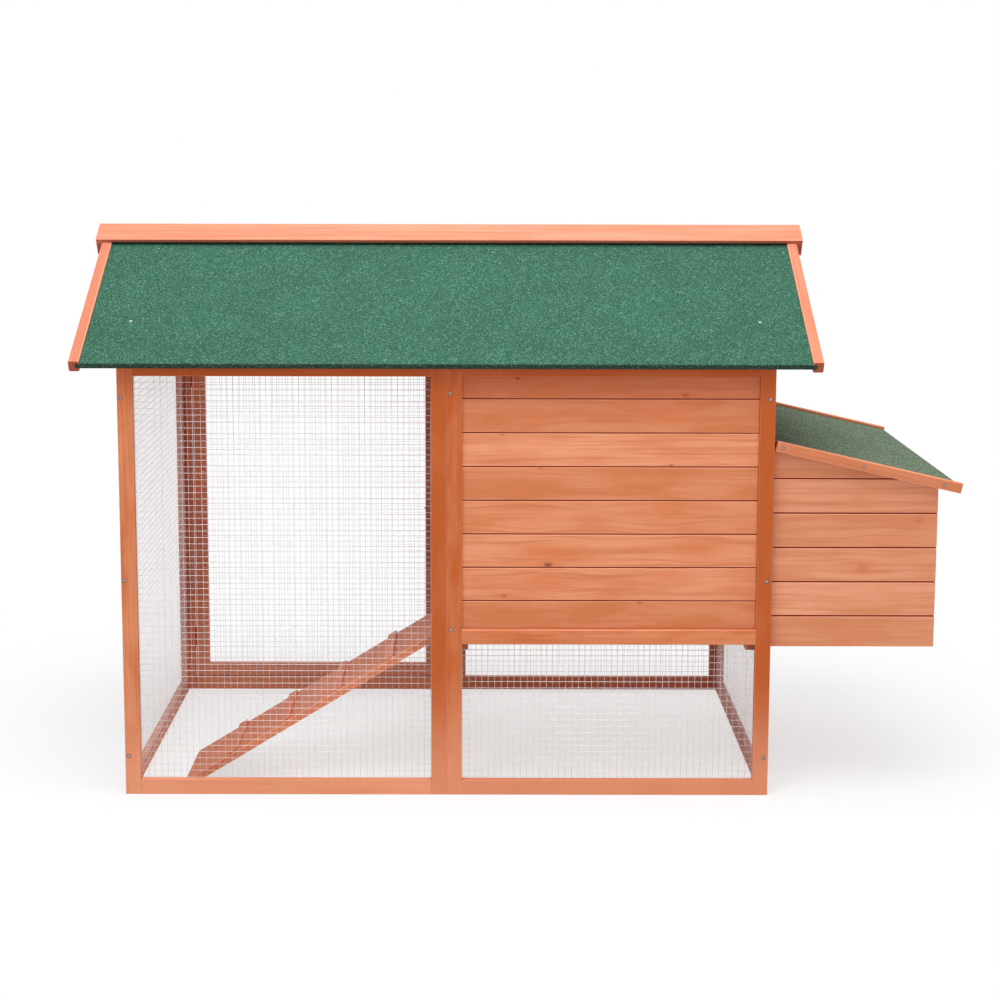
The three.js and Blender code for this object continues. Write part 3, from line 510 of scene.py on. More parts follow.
class Paints:
    """Every finish of the coop, each made once."""

    HOUSE_KNOTS = (
        Knot(771.0, 829.0, 4.0, 0.8, 0.3),
        Knot(1093.0, 797.0, 6.0, 0.4, 0.5),
        Knot(1065.0, 758.0, 13.0, 0.0, 0.6),
        Knot(797.0, 754.0, 12.0, 0.0, 0.4),
        Knot(740.0, 722.0, 4.5, 0.6, 0.4),
        Knot(816.0, 654.0, 4.0, 0.45, 0.35),
        Knot(790.0, 563.0, 16.0, 0.0, 0.3),
        Knot(1050.0, 566.0, 15.0, 0.0, 0.35),
        Knot(831.0, 462.0, 6.5, 0.8, 0.6),
        Knot(841.0, 486.0, 12.0, 0.0, 0.7),
        Knot(1126.0, 492.0, 12.0, 0.0, 0.4),
        Knot(827.0, 426.0, 14.0, 0.0, 0.6),
        Knot(1072.0, 436.0, 10.0, 0.0, 0.45),
        Knot(1011.0, 389.0, 5.0, 0.5, 0.4),
        Knot(745.0, 401.0, 4.5, 0.35, 0.4),
    )
    NEST_KNOTS = (
        Knot(1553.0, 551.0, 9.0, 0.15, 0.4),
        Knot(1446.0, 455.0, 11.0, 0.2, 0.45),
        Knot(1492.0, 505.0, 14.0, 0.0, 0.3),
    )

    def __init__(self) -> None:
        """Builds the node groups and the materials."""
        grain = grain_group()
        knot = knot_group()

        def fir(name: str, *colours: Colour, **settings: object) -> bpy.types.Material:
            """Makes one finish of fir from its light, dark and warm colours."""
            return FirFinish(name, *colours, **settings).build(grain, knot)

        self.boards = fir(
            "stained_fir_boards",
            (226, 150, 112),
            (186, 96, 54),
            (204, 118, 72),
            eave_share=0.46,
            knots=self.HOUSE_KNOTS,
        )
        self.nest = fir(
            "stained_fir_nest", (224, 153, 119), (188, 104, 65), (205, 125, 83), knots=self.NEST_KNOTS
        )
        self.frame = fir(
            "stained_fir_frame",
            (214, 134, 92),
            (162, 70, 30),
            (186, 87, 32),
            spacing=3.4,
            streak_share=0.4,
            tone_warmth=0.9,
            foot=(238, 164, 128),
            foot_share=0.55,
            eave_share=0.12,
            rub=0.4,
        )
        self.inner = fir(
            "stained_fir_inner",
            (212, 124, 88),
            (170, 86, 56),
            (192, 102, 70),
            spacing=3.4,
            foot=(240, 156, 118),
            foot_share=0.85,
            rub=0.7,
        )
        # A darker copy of the inner finish: painted shade on the rear house frame and the tray runners, which stand
        # under the house.
        self.shaded = fir(
            "stained_fir_shaded",
            (204, 118, 82),
            (160, 78, 50),
            (182, 94, 62),
            spacing=3.4,
            foot=(214, 132, 94),
            foot_share=0.5,
            rub=0.5,
        )
        # Torn grain round sunk screw heads, darkened also as painted shade in the countersinks.
        self.sunk = fir("torn_fir_sinks", (140, 80, 56), (92, 48, 34), (116, 62, 42))
        self.ramp = fir(
            "stained_fir_ramp", (232, 150, 114), (188, 98, 62), (214, 126, 86), spacing=3.8
        )
        self.roof = fir(
            "pale_fir_roof", (211, 134, 105), (183, 100, 70), (198, 118, 87), spacing=3.0, cut=(152, 62, 28)
        )
        self.trim = fir(
            "pale_fir_trim", (217, 137, 98), (186, 100, 62), (202, 118, 78), spacing=3.0
        )
        self.felt = FeltFinish("roofing_felt", (56, 106, 84), (112, 156, 136), (26, 62, 48)).build()
        # A darker copy of the felt: painted shade on the felt turned down over the eaves.
        self.felt_edge = FeltFinish("roofing_felt_edge_painted_shade", (42, 66, 54), (92, 118, 104), (22, 40, 32)).build()
        self.grey_felt = FeltFinish("lid_felt", (101, 119, 95), (168, 182, 160), (50, 68, 50), 400.0).build()
        self.zinc = MetalFinish("zinc_plate", (205, 207, 210), (160, 163, 168), 0.85, 0.36, 160.0).build()
        self.screw = MetalFinish("screw_zinc", (186, 176, 172), (158, 148, 146), 0.5, 0.45, 300.0).build()
        # One wire in two copies: the level wires lighter as painted light from above, the upright ones darker as
        # painted shade.
        self.lit_level_wire = MetalFinish("lit_level_wire", (255, 250, 248), (242, 236, 236), 0.1, 0.45, 90.0).build()
        self.shaded_upright_wire = MetalFinish("shaded_upright_wire", (236, 231, 233), (212, 207, 212), 0.1, 0.5, 90.0).build()
        self.nail = MetalFinish("felt_nail", (176, 188, 178), (148, 160, 150), 0.1, 0.6, 400.0).build()
        self.painted_nail = MetalFinish("stained_nail", (214, 160, 140), (186, 132, 114), 0.1, 0.5, 400.0).build()


class Piece:
    """A mesh under way that becomes one named piece of the coop."""

    def __init__(self, name: str) -> None:
        """Starts an empty mesh."""
        self.name = name
        self.mesh = bmesh.new()

    def finish(
        self, body: Body, slot: Slot, material: bpy.types.Material, *nodes: str, smooth: bool = False
    ) -> None:
        """Turns the mesh into an object that rides on a body.

        Args:
            body: The body that it moves with.
            slot: The record's slot that its finish belongs to; not used.
            material: Its material.
            nodes: The solids that it stands for.
            smooth: Whether its faces are shaded smooth.
        """
        data = bpy.data.meshes.new(self.name)
        for face in self.mesh.faces:
            face.smooth = smooth
        self.mesh.to_mesh(data)
        self.mesh.free()
        made = stand(self.name, data)
        data.materials.append(material)
        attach(made, body.value)
        if nodes:
            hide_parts(*nodes)
        LOG.info("%s: %d faces", self.name, len(data.polygons))

    def fresh(self, known: set[bmesh.types.BMVert]) -> list[bmesh.types.BMVert]:
        """The vertices that were added since a set of them was taken."""
        return [vertex for vertex in self.mesh.verts if vertex not in known]

    def cone(self, sides: int, radii: Point, depth: float, matrix: Matrix) -> list[bmesh.types.BMVert]:
        """Adds a closed cone or cylinder.

        Args:
            sides: How many sides it has.
            radii: Its lower and upper radius in millimetres.
            depth: Its length in metres.
            matrix: Where its middle goes, and which way its local Z looks.

        Returns:
            Its vertices.
        """
        return bmesh.ops.create_cone(
            self.mesh,
            cap_ends=True,
            segments=sides,
            radius1=radii[0] * MM,
            radius2=radii[1] * MM,
            depth=depth,
            matrix=matrix,
        )["verts"]


class Timber(Piece):
    """Planed sticks and boards, each with its own run of grain."""

    EDGE = 1.1  # how far planed edges are eased
    PITH = (18.0, 60.0)  # how far below a face the middle of the tree was
    SINK_DEPTH = 0.25

    def __init__(self, name: str) -> None:
        """Starts an empty mesh with layers for the grain's place and tone."""
        super().__init__(name)
        self.place = self.mesh.verts.layers.float_vector.new("grain_place")
        self.tone = self.mesh.verts.layers.float.new("grain_tone")
        # grain_joint marks dark joints, and also painted shade in the rear door's gap and on the ridge board's lower
        # edge and end blocks.
        self.joint = self.mesh.verts.layers.float.new("grain_joint")
        self.end = self.mesh.loops.layers.float.new("grain_end")
        self.wear = self.mesh.loops.layers.float.new("grain_wear")
        self.random = random.Random(name)

    def new_grain(self, width: float, tone: float | None = None) -> Grain:
        """Draws where a stick lay in its tree and how dark it is.

        Args:
            width: The stick's width in millimetres.
            tone: Its tone from -1, dark, to 1, light, where it isn't drawn.

        Returns:
            The offset of its grain in metres, and its tone.
        """
        draw = self.random
        offset = Vector((draw.uniform(0, 30000), draw.uniform(-width, width), draw.uniform(*self.PITH))) * MM
        return offset, draw.uniform(-1.0, 1.0) if tone is None else tone

    def settle(
        self, vertices: list[bmesh.types.BMVert], matrix: Matrix, grain: Grain
    ) -> None:
        """Notes the grain, the sawn ends and the rubbed edges of new vertices, then moves them into place."""
        offset, tone = grain
        for vertex in vertices:
            vertex[self.place] = vertex.co + offset
            vertex[self.tone] = tone
        for face in linked(vertices, "link_faces"):
            face.normal_update()
            steepest = max(abs(part) for part in face.normal)
            for loop in face.loops:
                loop[self.end] = float(abs(face.normal.x) > 0.9)
                loop[self.wear] = float(steepest < 0.97)
        bmesh.ops.transform(self.mesh, matrix=matrix, verts=vertices)

    def stick(
        self,
        size: tuple[float, float, float],
        matrix: Matrix,
        edge: float = EDGE,
        grain: Grain | None = None,
        stain: float = 0.0,
    ) -> None:
        """Adds a planed stick with eased edges.

        Args:
            size: Its length, width and thickness in millimetres.
            matrix: Where its middle goes.
            edge: How far its edges are eased.
            grain: Its grain, where it isn't drawn.
            stain: How far the seam colour covers it; on the ridge's end blocks this is painted shade.
        """
        known = set(self.mesh.verts)
        made = bmesh.ops.create_cube(self.mesh, size=MM)
        bmesh.ops.scale(self.mesh, vec=size, verts=made["verts"])
        bmesh.ops.bevel(
            self.mesh,
            geom=linked(made["verts"], "link_edges"),
            offset=edge * MM,
            offset_type="OFFSET",
            segments=2,
            profile=0.5,
            affect="EDGES",
            material=-1,
        )
        vertices = self.fresh(known)
        for vertex in vertices:
            vertex[self.joint] = stain
        self.settle(vertices, matrix, grain or self.new_grain(size[1]))

    def between(
        self,
        low: Vector,
        high: Vector,
        along: Way,
        outward: Way,
        edge: float = EDGE,
        tone: float | None = None,
    ) -> None:
        """Adds a stick that fills a box between two corners.

        Args:
            low: The box's lowest corner, in metres.
            high: Its highest corner.
            along: The direction that the stick runs in.
            outward: The direction that its outer face looks in.
            edge: How far its edges are eased, in millimetres.
            tone: Its tone from -1, dark, to 1, light, where it isn't drawn.
        """
        spans = [abs(high[i] - low[i]) / MM for i in range(3)]
        first = next(i for i in range(3) if along.value[i])
        third = next(i for i in range(3) if outward.value[i])
        second = 3 - first - third
        matrix = placed(along.vector, outward.vector, (low + high) / 2)
        grain = self.new_grain(spans[second], tone)
        self.stick((spans[first], spans[second], spans[third]), matrix, edge, grain)

    def prism(
        self,
        profile: list[Point] | list[Corner],
        length: float,
        matrix: Matrix,
        grain: Grain | None = None,
    ) -> None:
        """Adds a stick of any section.

        Args:
            profile: The section's corners, across and outwards in millimetres, with how far the seam colour covers
                them, as joint stain and painted shade, if they have any.
            length: Its length in millimetres, from the local origin along X.
            matrix: Where the local origin goes.
            grain: Its grain, where it isn't drawn.
        """
        known = set(self.mesh.verts)
        corners = []
        for y, z, *stain in profile:
            corner = self.mesh.verts.new((0.0, y * MM, z * MM))
            corner[self.joint] = sum(stain)
            corners.append(corner)
        section = self.mesh.faces.new(corners)
        grown = bmesh.ops.extrude_face_region(self.mesh, geom=[section])["geom"]
        far = [item for item in grown if isinstance(item, bmesh.types.BMVert)]
        bmesh.ops.translate(self.mesh, vec=(length * MM, 0.0, 0.0), verts=far)
        vertices = self.fresh(known)
        bmesh.ops.recalc_face_normals(self.mesh, faces=linked(vertices, "link_faces"))
        across = [corner[0] for corner in profile]
        self.settle(vertices, matrix, grain or self.new_grain(max(across) - min(across)))

    def paint_gap_shade(self, low: Vector, high: Vector, is_inside: bool) -> None:
        """Paints the seam colour on the faces round an opening, as painted shade in the gap there.

        Args:
            low: The lowest corner of a box, in metres.
            high: Its highest corner.
            is_inside: Whether the corners in the box take the painted shade, or those outside it.
        """
        for vertex in self.mesh.verts:
            if all(low[i] <= vertex.co[i] <= high[i] for i in range(3)) is is_inside:
                vertex[self.joint] = 1.0

    def sink(self, place: Vector, outward: Vector, radius: float) -> None:
        """Adds the thin disc round a sunk screw head: torn grain, and painted shade in the countersink.

        Args:
            place: Its middle, on the wood's face.
            outward: The direction that the face looks in.
            radius: Its radius in millimetres.
        """
        turns = [math.tau * step / 16 for step in range(16)]
        rim = [(math.cos(turn) * radius, math.sin(turn) * radius) for turn in turns]
        self.prism(rim, self.SINK_DEPTH, placed(outward, outward.orthogonal(), place))

    def trim(self, point: Vector, outward: Vector) -> None:
        """Cuts the whole piece off at a plane, and closes the cut."""
        geometry = [*self.mesh.verts, *self.mesh.edges, *self.mesh.faces]
        cut = bmesh.ops.bisect_plane(
            self.mesh, geom=geometry, dist=1e-7, plane_co=point, plane_no=outward, clear_outer=True
        )["geom_cut"]
        rim = [item for item in cut if isinstance(item, bmesh.types.BMEdge)]
        bmesh.ops.holes_fill(self.mesh, edges=rim, sides=0)
        bmesh.ops.recalc_face_normals(self.mesh, faces=self.mesh.faces)


@dataclass(frozen=True)
class Boarding:
    """The sizes of a wall of matched boards."""

    thickness: float
    pitch: float
    first: float  # where the lowest joint is, above the ground
    ease: float = 0.9  # how far the face edges are eased
    open_joint: float = 2.5
    tongue: float = 5.0

    def profile(self, low: float, high: float, is_lowest: bool) -> list[Corner]:
        """The section of one board, whose tongue reaches behind the board below it.

        Args:
            low: Its lower edge.
            high: Its upper edge.
            is_lowest: Whether there is no board below it.

        Returns:
            The section's corners, up and outwards from the wall's back, with the stain that the joints hold.
        """
        half = self.open_joint / 2
        ease = self.ease
        back = self.thickness / 2
        face = self.thickness
        foot: list[Corner] = [(low, 0.0, 0.0), (low, face - ease, 0.4), (low + ease, face, 0.0)]
        if not is_lowest:
            foot = [
                (low - self.tongue, 0.0, 0.0),
                (low - self.tongue, back - 0.4, 1.0),
                (low + half, back - 0.4, 1.0),
                (low + half, face - ease, 1.0),
                (low + half + ease, face, 0.0),
            ]
        head: list[Corner] = [
            (high - half - ease, face, 0.0),
            (high - half, face - ease, 0.45),
            (high - half, back, 1.0),
            (high - self.tongue - half, back, 1.0),
            (high - self.tongue - half, 0.0, 0.0),
        ]
        return foot + head


class BoardedWall(Timber):
    """A wall of boards that lie one above another."""

    def boards(
        self,
        boarding: Boarding,
        heights: tuple[float, float],
        length: float,
        along: Way,
        outward: Way,
        start: Vector,
        hole: tuple[float, float, float, float] | None = None,
        tones: tuple[float, ...] = (),
    ) -> None:
        """Adds the boards.

        Args:
            boarding: The boards' sizes.
            heights: The wall's foot and top above the ground.
            length: The wall's length.
            along: The direction that the boards run in.
            outward: The direction that the wall looks in.
            start: The wall's near end on its back face, at the ground.
            hole: A hole's start and end along the wall and its foot and top, if it has one.
            tones: The boards' tones from the lowest up, where they aren't drawn.
        """
        low, high = heights
        joints = [low]
        joint = boarding.first
        shortest = boarding.open_joint * 3
        while joint < high - shortest:
            if joint > low + shortest:
                joints.append(joint)
            joint += boarding.pitch
        joints.append(high)
        turn = placed(along.vector, outward.vector, start)
        up_is_local_y = turn.to_3x3() @ Vector((0.0, 1.0, 0.0))
        flip = 1.0 if up_is_local_y.z > 0 else -1.0
        for index, (foot, top) in enumerate(zip(joints, joints[1:])):
            profile = boarding.profile(foot, top, index == 0)
            if top == high:
                face, ease = boarding.thickness, boarding.ease
                profile = [(min(y, high), z, stain) for y, z, stain in profile[:-5]]
                profile += [(high - ease, face, 0.0), (high, face - ease, 0.4), (high, 0.0, 0.0)]
            section = [(y * flip, z, stain) for y, z, stain in profile]
            grain = self.new_grain(boarding.pitch, tones[index] if index < len(tones) else None)
            if hole is None or foot >= hole[3] or top <= hole[2]:
                self.lay(section, 0.0, length, turn, grain)
                continue
            self.lay(section, 0.0, hole[0], turn, grain)
            self.lay(section, hole[1], length, turn, grain)
            for part_low, part_high in ((foot, min(top, hole[2])), (max(foot, hole[3]), top)):
                if part_high > part_low:
                    inside = [(min(max(abs(y), part_low), part_high) * flip, z, stain) for y, z, stain in section]
                    kept = [corner for i, corner in enumerate(inside) if corner[:2] != inside[i - 1][:2]]
                    self.lay(kept, hole[0], hole[1], turn, grain)

    def lay(self, section: list[Corner], start: float, end: float, turn: Matrix, grain: Grain) -> None:
        """Lays a board, or a part of one whose grain runs on, between two places along the wall."""
        shift = Vector((start * MM, 0.0, 0.0))
        self.prism(section, end - start, turn @ Matrix.Translation(shift), (grain[0] + shift, grain[1]))


class Wires(Piece):
    """Thin round wires laid as straight runs."""

    SIDES = 6

    def run(self, start: Vector, end: Vector, radius: float) -> None:
        """Adds a wire from one place to another, its radius in millimetres."""
        way = end - start
        self.cone(self.SIDES, (radius, radius), way.length, facing((start + end) / 2, way))


class Fixings(Piece):
    """Screw heads and nail heads."""

    HEAD = 3.4
    SIDES = 16
    SCREW_DEPTH = 1.2
    NAIL_DEPTH = 1.8
    CROSS = ((0.58, 0.0), (0.5, 0.12), (0.14, 0.14), (0.12, 0.5))  # one quarter of the recess's outline

    def screw(self, place: Vector, outward: Vector, radius: float = HEAD) -> None:
        """Adds a flat head with a cross recess, a little proud of the wood.

        Args:
            place: The middle of the head, on the wood's face.
            outward: The direction that the head looks in.
            radius: Its radius in millimetres.
        """
        known = set(self.mesh.verts)
        made = self.cone(self.SIDES, (radius, radius * 0.9), self.SCREW_DEPTH * MM, Matrix.Identity(4))
        top = max(linked(made, "link_faces"), key=self._height)
        self._step(top, 0.0, radius * 0.3)
        for vertex in top.verts:
            turn = math.atan2(vertex.co.y, vertex.co.x) % math.tau
            quarter, part = divmod(round(turn / math.tau * self.SIDES) % self.SIDES, 4)
            corner = Matrix.Rotation(math.pi / 2 * quarter, 2) @ Vector(self.CROSS[part])
            vertex.co.xy = corner * radius * MM
        self._step(top, -0.5, 0.02)
        bmesh.ops.transform(self.mesh, matrix=facing(place, outward), verts=self.fresh(known))

    def nail(self, place: Vector, outward: Vector, radius: float) -> None:
        """Adds a low domed nail head."""
        self.cone(self.SIDES, (radius, radius * 0.55), self.NAIL_DEPTH * MM, facing(place, outward))

    def _height(self, face: bmesh.types.BMFace) -> float:
        """How high a face's middle is."""
        return face.calc_center_median().z

    def _step(self, face: bmesh.types.BMFace, rise: float, inset: float) -> None:
        """Insets a face and moves it out along local Z, in millimetres."""
        bmesh.ops.inset_region(self.mesh, faces=[face], thickness=inset * MM, depth=0.0)
        bmesh.ops.translate(self.mesh, vec=(0.0, 0.0, rise * MM), verts=face.verts)


def rebated(
    size: Point, top: float, panel: float, rebate: float, seat: float, ease: float, is_foot_eased: bool
) -> list[Point]:
    """Gives the section of a board with a groove that holds the edge of a felted panel.

    Args:
        size: Its width and height in millimetres.
        top: Its upper face, above the panel's underside.
        panel: How thick the panel is.
        rebate: How deep the groove is.
        seat: The room between groove and panel.
        ease: How far its corners are eased.
        is_foot_eased: Whether the corner under the panel is eased too.

    Returns:
        The section's corners, inwards from its outer face and up from the panel's underside.
    """
    width, height = size
    low = top - height
    groove = width - rebate
    foot = [(width - ease, low), (width, low + ease)] if is_foot_eased else [(width, low)]
    return [
        (0.0, low + ease),
        (ease, low),
        *foot,
        (width, -seat),
        (groove, -seat),
        (groove, panel + seat),
        (width, panel + seat),
        (width, top - ease),
        (width - ease, top),
        (ease, top),
        (0.0, top - ease),
    ]


def fold(end: float, way: float, thickness: float) -> list[Point]:
    """Gives the rounded outer corners of felt that is turned down over an edge, from its foot up.

    Args:
        end: Where the felt ends, along the slope.
        way: 1 where that is towards larger numbers, and -1 where it isn't.
        thickness: How thick the felted panel is.

    Returns:
        The corners, along the slope and up from the panel's underside.
    """
    return [(end, 0.0), (end, thickness - 1.6), (end - way * 0.7, thickness - 0.5), (end - way * 2.2, thickness)]


@dataclass
class Frames:
    """The six framed panels of the run and the house."""

    paints: Paints
    bay: float = 633.5
    depth: float = 750.0
    height: float = 862.0
    stock: float = 30.0
    thickness: float = 15.0
    floor: float = 305.0
    lid_rail: float = 700.0
    tones: dict[str, float] = field(
        default_factory=lambda: {
            "front_run_left_stile": 0.95,
            "front_run_right_stile": -0.72,
            "front_run_bottom_rail": 1.0,
            "front_run_top_rail": -1.0,
            "front_house_left_stile": -0.15,
            "front_house_right_stile": -0.9,
            "front_house_bottom_rail": -0.4,
            "front_house_floor_rail": 0.85,
            "front_house_top_rail": -1.0,
        }
    )

    @property
    def length(self) -> float:
        """Length of both bays."""
        return self.bay * 2

    def build(self) -> None:
        """Makes every panel's timber."""
        self.front()
        rails = {
            "rear_run_frame": (0.0, self.bay, (0.0, self.height - self.stock)),
            "rear_house_frame": (self.bay, self.length, (0.0, self.floor - self.stock, self.height - self.stock)),
        }
        for name, (start, end, heights) in rails.items():
            panel = Timber(f"{name}_timber")
            y = (self.depth - self.thickness, self.depth)
            for x in (start, end - self.stock):
                panel.between(at(x, y[0], 0), at(x + self.stock, y[1], self.height), Way.UP, Way.REAR)
            for z in heights:
                low = at(start + self.stock, y[0], z)
                panel.between(low, at(end - self.stock, y[1], z + self.stock), Way.RIGHT, Way.REAR)
            # The faces round the door opening take the seam colour as painted shade in the gap round the door.
            near, far = self.stock - REVEAL, self.bay - self.stock + REVEAL
            panel.paint_gap_shade(at(near, 0, near), at(far, self.depth + 1, self.height - near), True)
            # The rear house frame takes the darker copy, painted shade under the house.
            paint = self.paints.inner if start == 0.0 else self.paints.shaded
            panel.finish(Body.COOP, Slot.FIR, paint, name)
        sides = {
            "left_side_frame": (0.0, Way.LEFT, (0.0, self.height - self.stock)),
            "right_side_frame": (
                self.length - self.thickness,
                Way.RIGHT,
                (0.0, self.floor, self.lid_rail, self.height - self.stock),
            ),
        }
        for name, (x, outward, heights) in sides.items():
            panel = Timber(f"{name}_timber")
            near, far = self.thickness, self.depth - self.thickness
            for y in (near, far - self.stock):
                panel.between(at(x, y, 0), at(x + self.thickness, y + self.stock, self.height), Way.UP, outward)
            for z in heights:
                low = at(x, near + self.stock, z)
                high = at(x + self.thickness, far - self.stock, z + self.stock)
                panel.between(low, high, Way.REAR, outward)
            panel.finish(Body.COOP, Slot.FIR, self.paints.inner, name)

    def front(self) -> None:
        """Makes the front members, each a piece of its own."""
        for node, tone in self.tones.items():
            low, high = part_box(node)
            stick = Timber(f"{node}_timber")
            if "floor_rail" in node:
                self.floor_rail(stick, low, high, tone)
            else:
                stick.between(low, high, Way.UP if "stile" in node else Way.RIGHT, Way.FRONT, tone=tone)
            stick.finish(Body.COOP, Slot.FIR, self.paints.frame, node)

    def floor_rail(self, rail: Timber, low: Vector, high: Vector, tone: float) -> None:
        """Makes the rail under the boards, whose upper front edge is rounded off more than the others.

        Args:
            rail: The piece to add it to.
            low: The rail's lowest corner, in metres.
            high: Its highest corner.
            tone: Its tone.
        """
        length, depth, height = (high - low) / MM
        ease, broad = 0.8, 2.4
        profile = [
            (0.0, 0.0),
            (0.0, depth - ease),
            (ease, depth),
            (height - broad, depth),
            (height, depth - broad),
            (height, 0.0),
        ]
        place = placed(Way.RIGHT.vector, Way.FRONT.vector, Vector((low.x, high.y, low.z)))
        rail.prism(profile, length, place, rail.new_grain(height, tone))


@dataclass
class Netting:
    """Welded mesh stapled behind the frames."""

    paints: Paints
    pitch: float = 12.7
    radii: Point = (0.31, 0.42)  # of the upright and the level wires
    sheets: dict[str, Body] = field(
        default_factory=lambda: {
            "front_run_mesh": Body.COOP,
            "front_house_mesh": Body.COOP,
            "rear_house_mesh": Body.COOP,
            "left_side_mesh": Body.COOP,
            "right_side_mesh": Body.COOP,
            "rear_door_mesh": Body.DOOR,
        }
    )

    def build(self) -> None:
        """Makes every sheet of mesh."""
        for node, body in self.sheets.items():
            self.sheet(node, body)

    def sheet(self, node: str, body: Body) -> None:
        """Lays wires both ways across the box of one sheet."""
        low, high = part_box(node)
        thin = 0 if high.x - low.x < high.y - low.y else 1
        wide = 1 - thin
        draw = random.Random(node)
        middle = (low[thin] + high[thin]) / 2
        for first, second, side, radius in ((wide, 2, -1, self.radii[0]), (2, wide, 1, self.radii[1])):
            is_level = first == 2
            net = Wires(f"{node}_{'level' if is_level else 'upright'}_wires")
            inset = radius * MM
            span = high[first] - low[first] - inset * 2
            count = round(span / (self.pitch * MM))
            for index in range(count + 1):
                start, end = Vector(low), Vector(high)
                start[thin] = end[thin] = middle + side * radius * 0.8 * MM
                start[first] = low[first] + inset + span * index / count + draw.uniform(-0.2, 0.2) * MM
                end[first] = start[first] + draw.uniform(-0.3, 0.3) * MM
                start[first] = min(max(start[first], low[first] + inset), high[first] - inset)
                end[first] = min(max(end[first], low[first] + inset), high[first] - inset)
                start[second] = low[second]
                end[second] = high[second]
                net.run(start, end, radius)
            # Level wires take the lit copy, upright ones the shaded copy: painted light and painted shade.
            paint = self.paints.lit_level_wire if is_level else self.paints.shaded_upright_wire
            net.finish(body, Slot.WIRE, paint, *((node,) if is_level else ()), smooth=True)


@dataclass
class House:
    """The boarded walls of the raised house, the partition and the gables."""

    paints: Paints
    frames: Frames
    boarding: Boarding = Boarding(8.0, 66.3, 390.9)
    partition: Boarding = Boarding(12.0, 66.3, 390.9)
    gable: Boarding = Boarding(12.0, 66.3, 928.6)
    side: Boarding = Boarding(8.0, 66.3, 796.6)
    recess: float = 7.0
    seat: float = 0.3
    hole: tuple[float, float, float, float] = (459.0, 664.0, 320.0, 590.0)
    # The top board's darkest tone is partly painted shade under the eave.
    front_tones: tuple[float, ...] = (-0.9, 0.2, 0.4, 0.1, -0.5, 1.0, -0.6, -1.0)

    def build(self) -> None:
        """Makes every wall."""
        frames = self.frames
        left = frames.bay + frames.stock + self.seat
        right = frames.length - frames.stock - self.seat
        floor_top = frames.floor + frames.stock
        top = frames.height - frames.stock - self.seat
        inner = frames.thickness
        rear = frames.depth - frames.thickness
        side = frames.thickness + frames.stock + self.seat
        face = frames.length - self.recess - self.side.thickness
        walls = {
            "front_house_boards": (
                self.boarding,
                (floor_top + self.seat, top),
                right - left,
                (Way.RIGHT, Way.FRONT),
                at(left, inner, 0),
            ),
            "rear_house_boards": (
                self.boarding,
                (floor_top, top),
                right - left,
                (Way.LEFT, Way.REAR),
                at(right, rear, 0),
            ),
            "right_house_boards": (
                self.side,
                (frames.lid_rail + frames.stock + self.seat, top),
                frames.depth - side * 2,
                (Way.REAR, Way.RIGHT),
                at(face, side, 0),
            ),
            "partition_boards": (
                self.partition,
                (frames.floor, frames.height),
                rear - inner,
                (Way.FRONT, Way.LEFT),
                at(frames.bay + self.partition.thickness, rear, 0),
            ),
        }
        for node, (boarding, heights, length, ways, start) in walls.items():
            wall = BoardedWall(f"{node}_fir")
            hole, paint = (self.hole, self.paints.inner) if boarding is self.partition else (None, self.paints.boards)
            tones = self.front_tones if Way.FRONT is ways[1] else ()
            wall.boards(boarding, heights, length, *ways, start, hole, tones)
            wall.finish(Body.COOP, Slot.FIR, paint, node)
        self.gables()

    def gables(self) -> None:
        """Makes the boarded triangles under the roof."""
        frames = self.frames
        base = frames.height + self.seat
        depth = frames.depth
        angle = math.radians(ROOF_PITCH)
        peak = base + depth / 2 * math.tan(angle)
        slope = Vector((0.0, -math.sin(angle), math.cos(angle)))
        back = Vector((0.0, -slope.y, slope.z))
        ends = {
            "left_gable_boards": (Way.FRONT, Way.LEFT, at(self.gable.thickness, depth, 0)),
            "right_gable_boards": (Way.REAR, Way.RIGHT, at(frames.length - self.gable.thickness, 0, 0)),
        }
        for node, (along, outward, start) in ends.items():
            wall = BoardedWall(f"{node}_fir")
            wall.boards(self.gable, (base, peak), depth, along, outward, start)
            wall.trim(at(0, 0, base - self.seat), slope)
            wall.trim(at(0, depth, base - self.seat), back)
            wall.finish(Body.COOP, Slot.FIR, self.paints.nest, node)


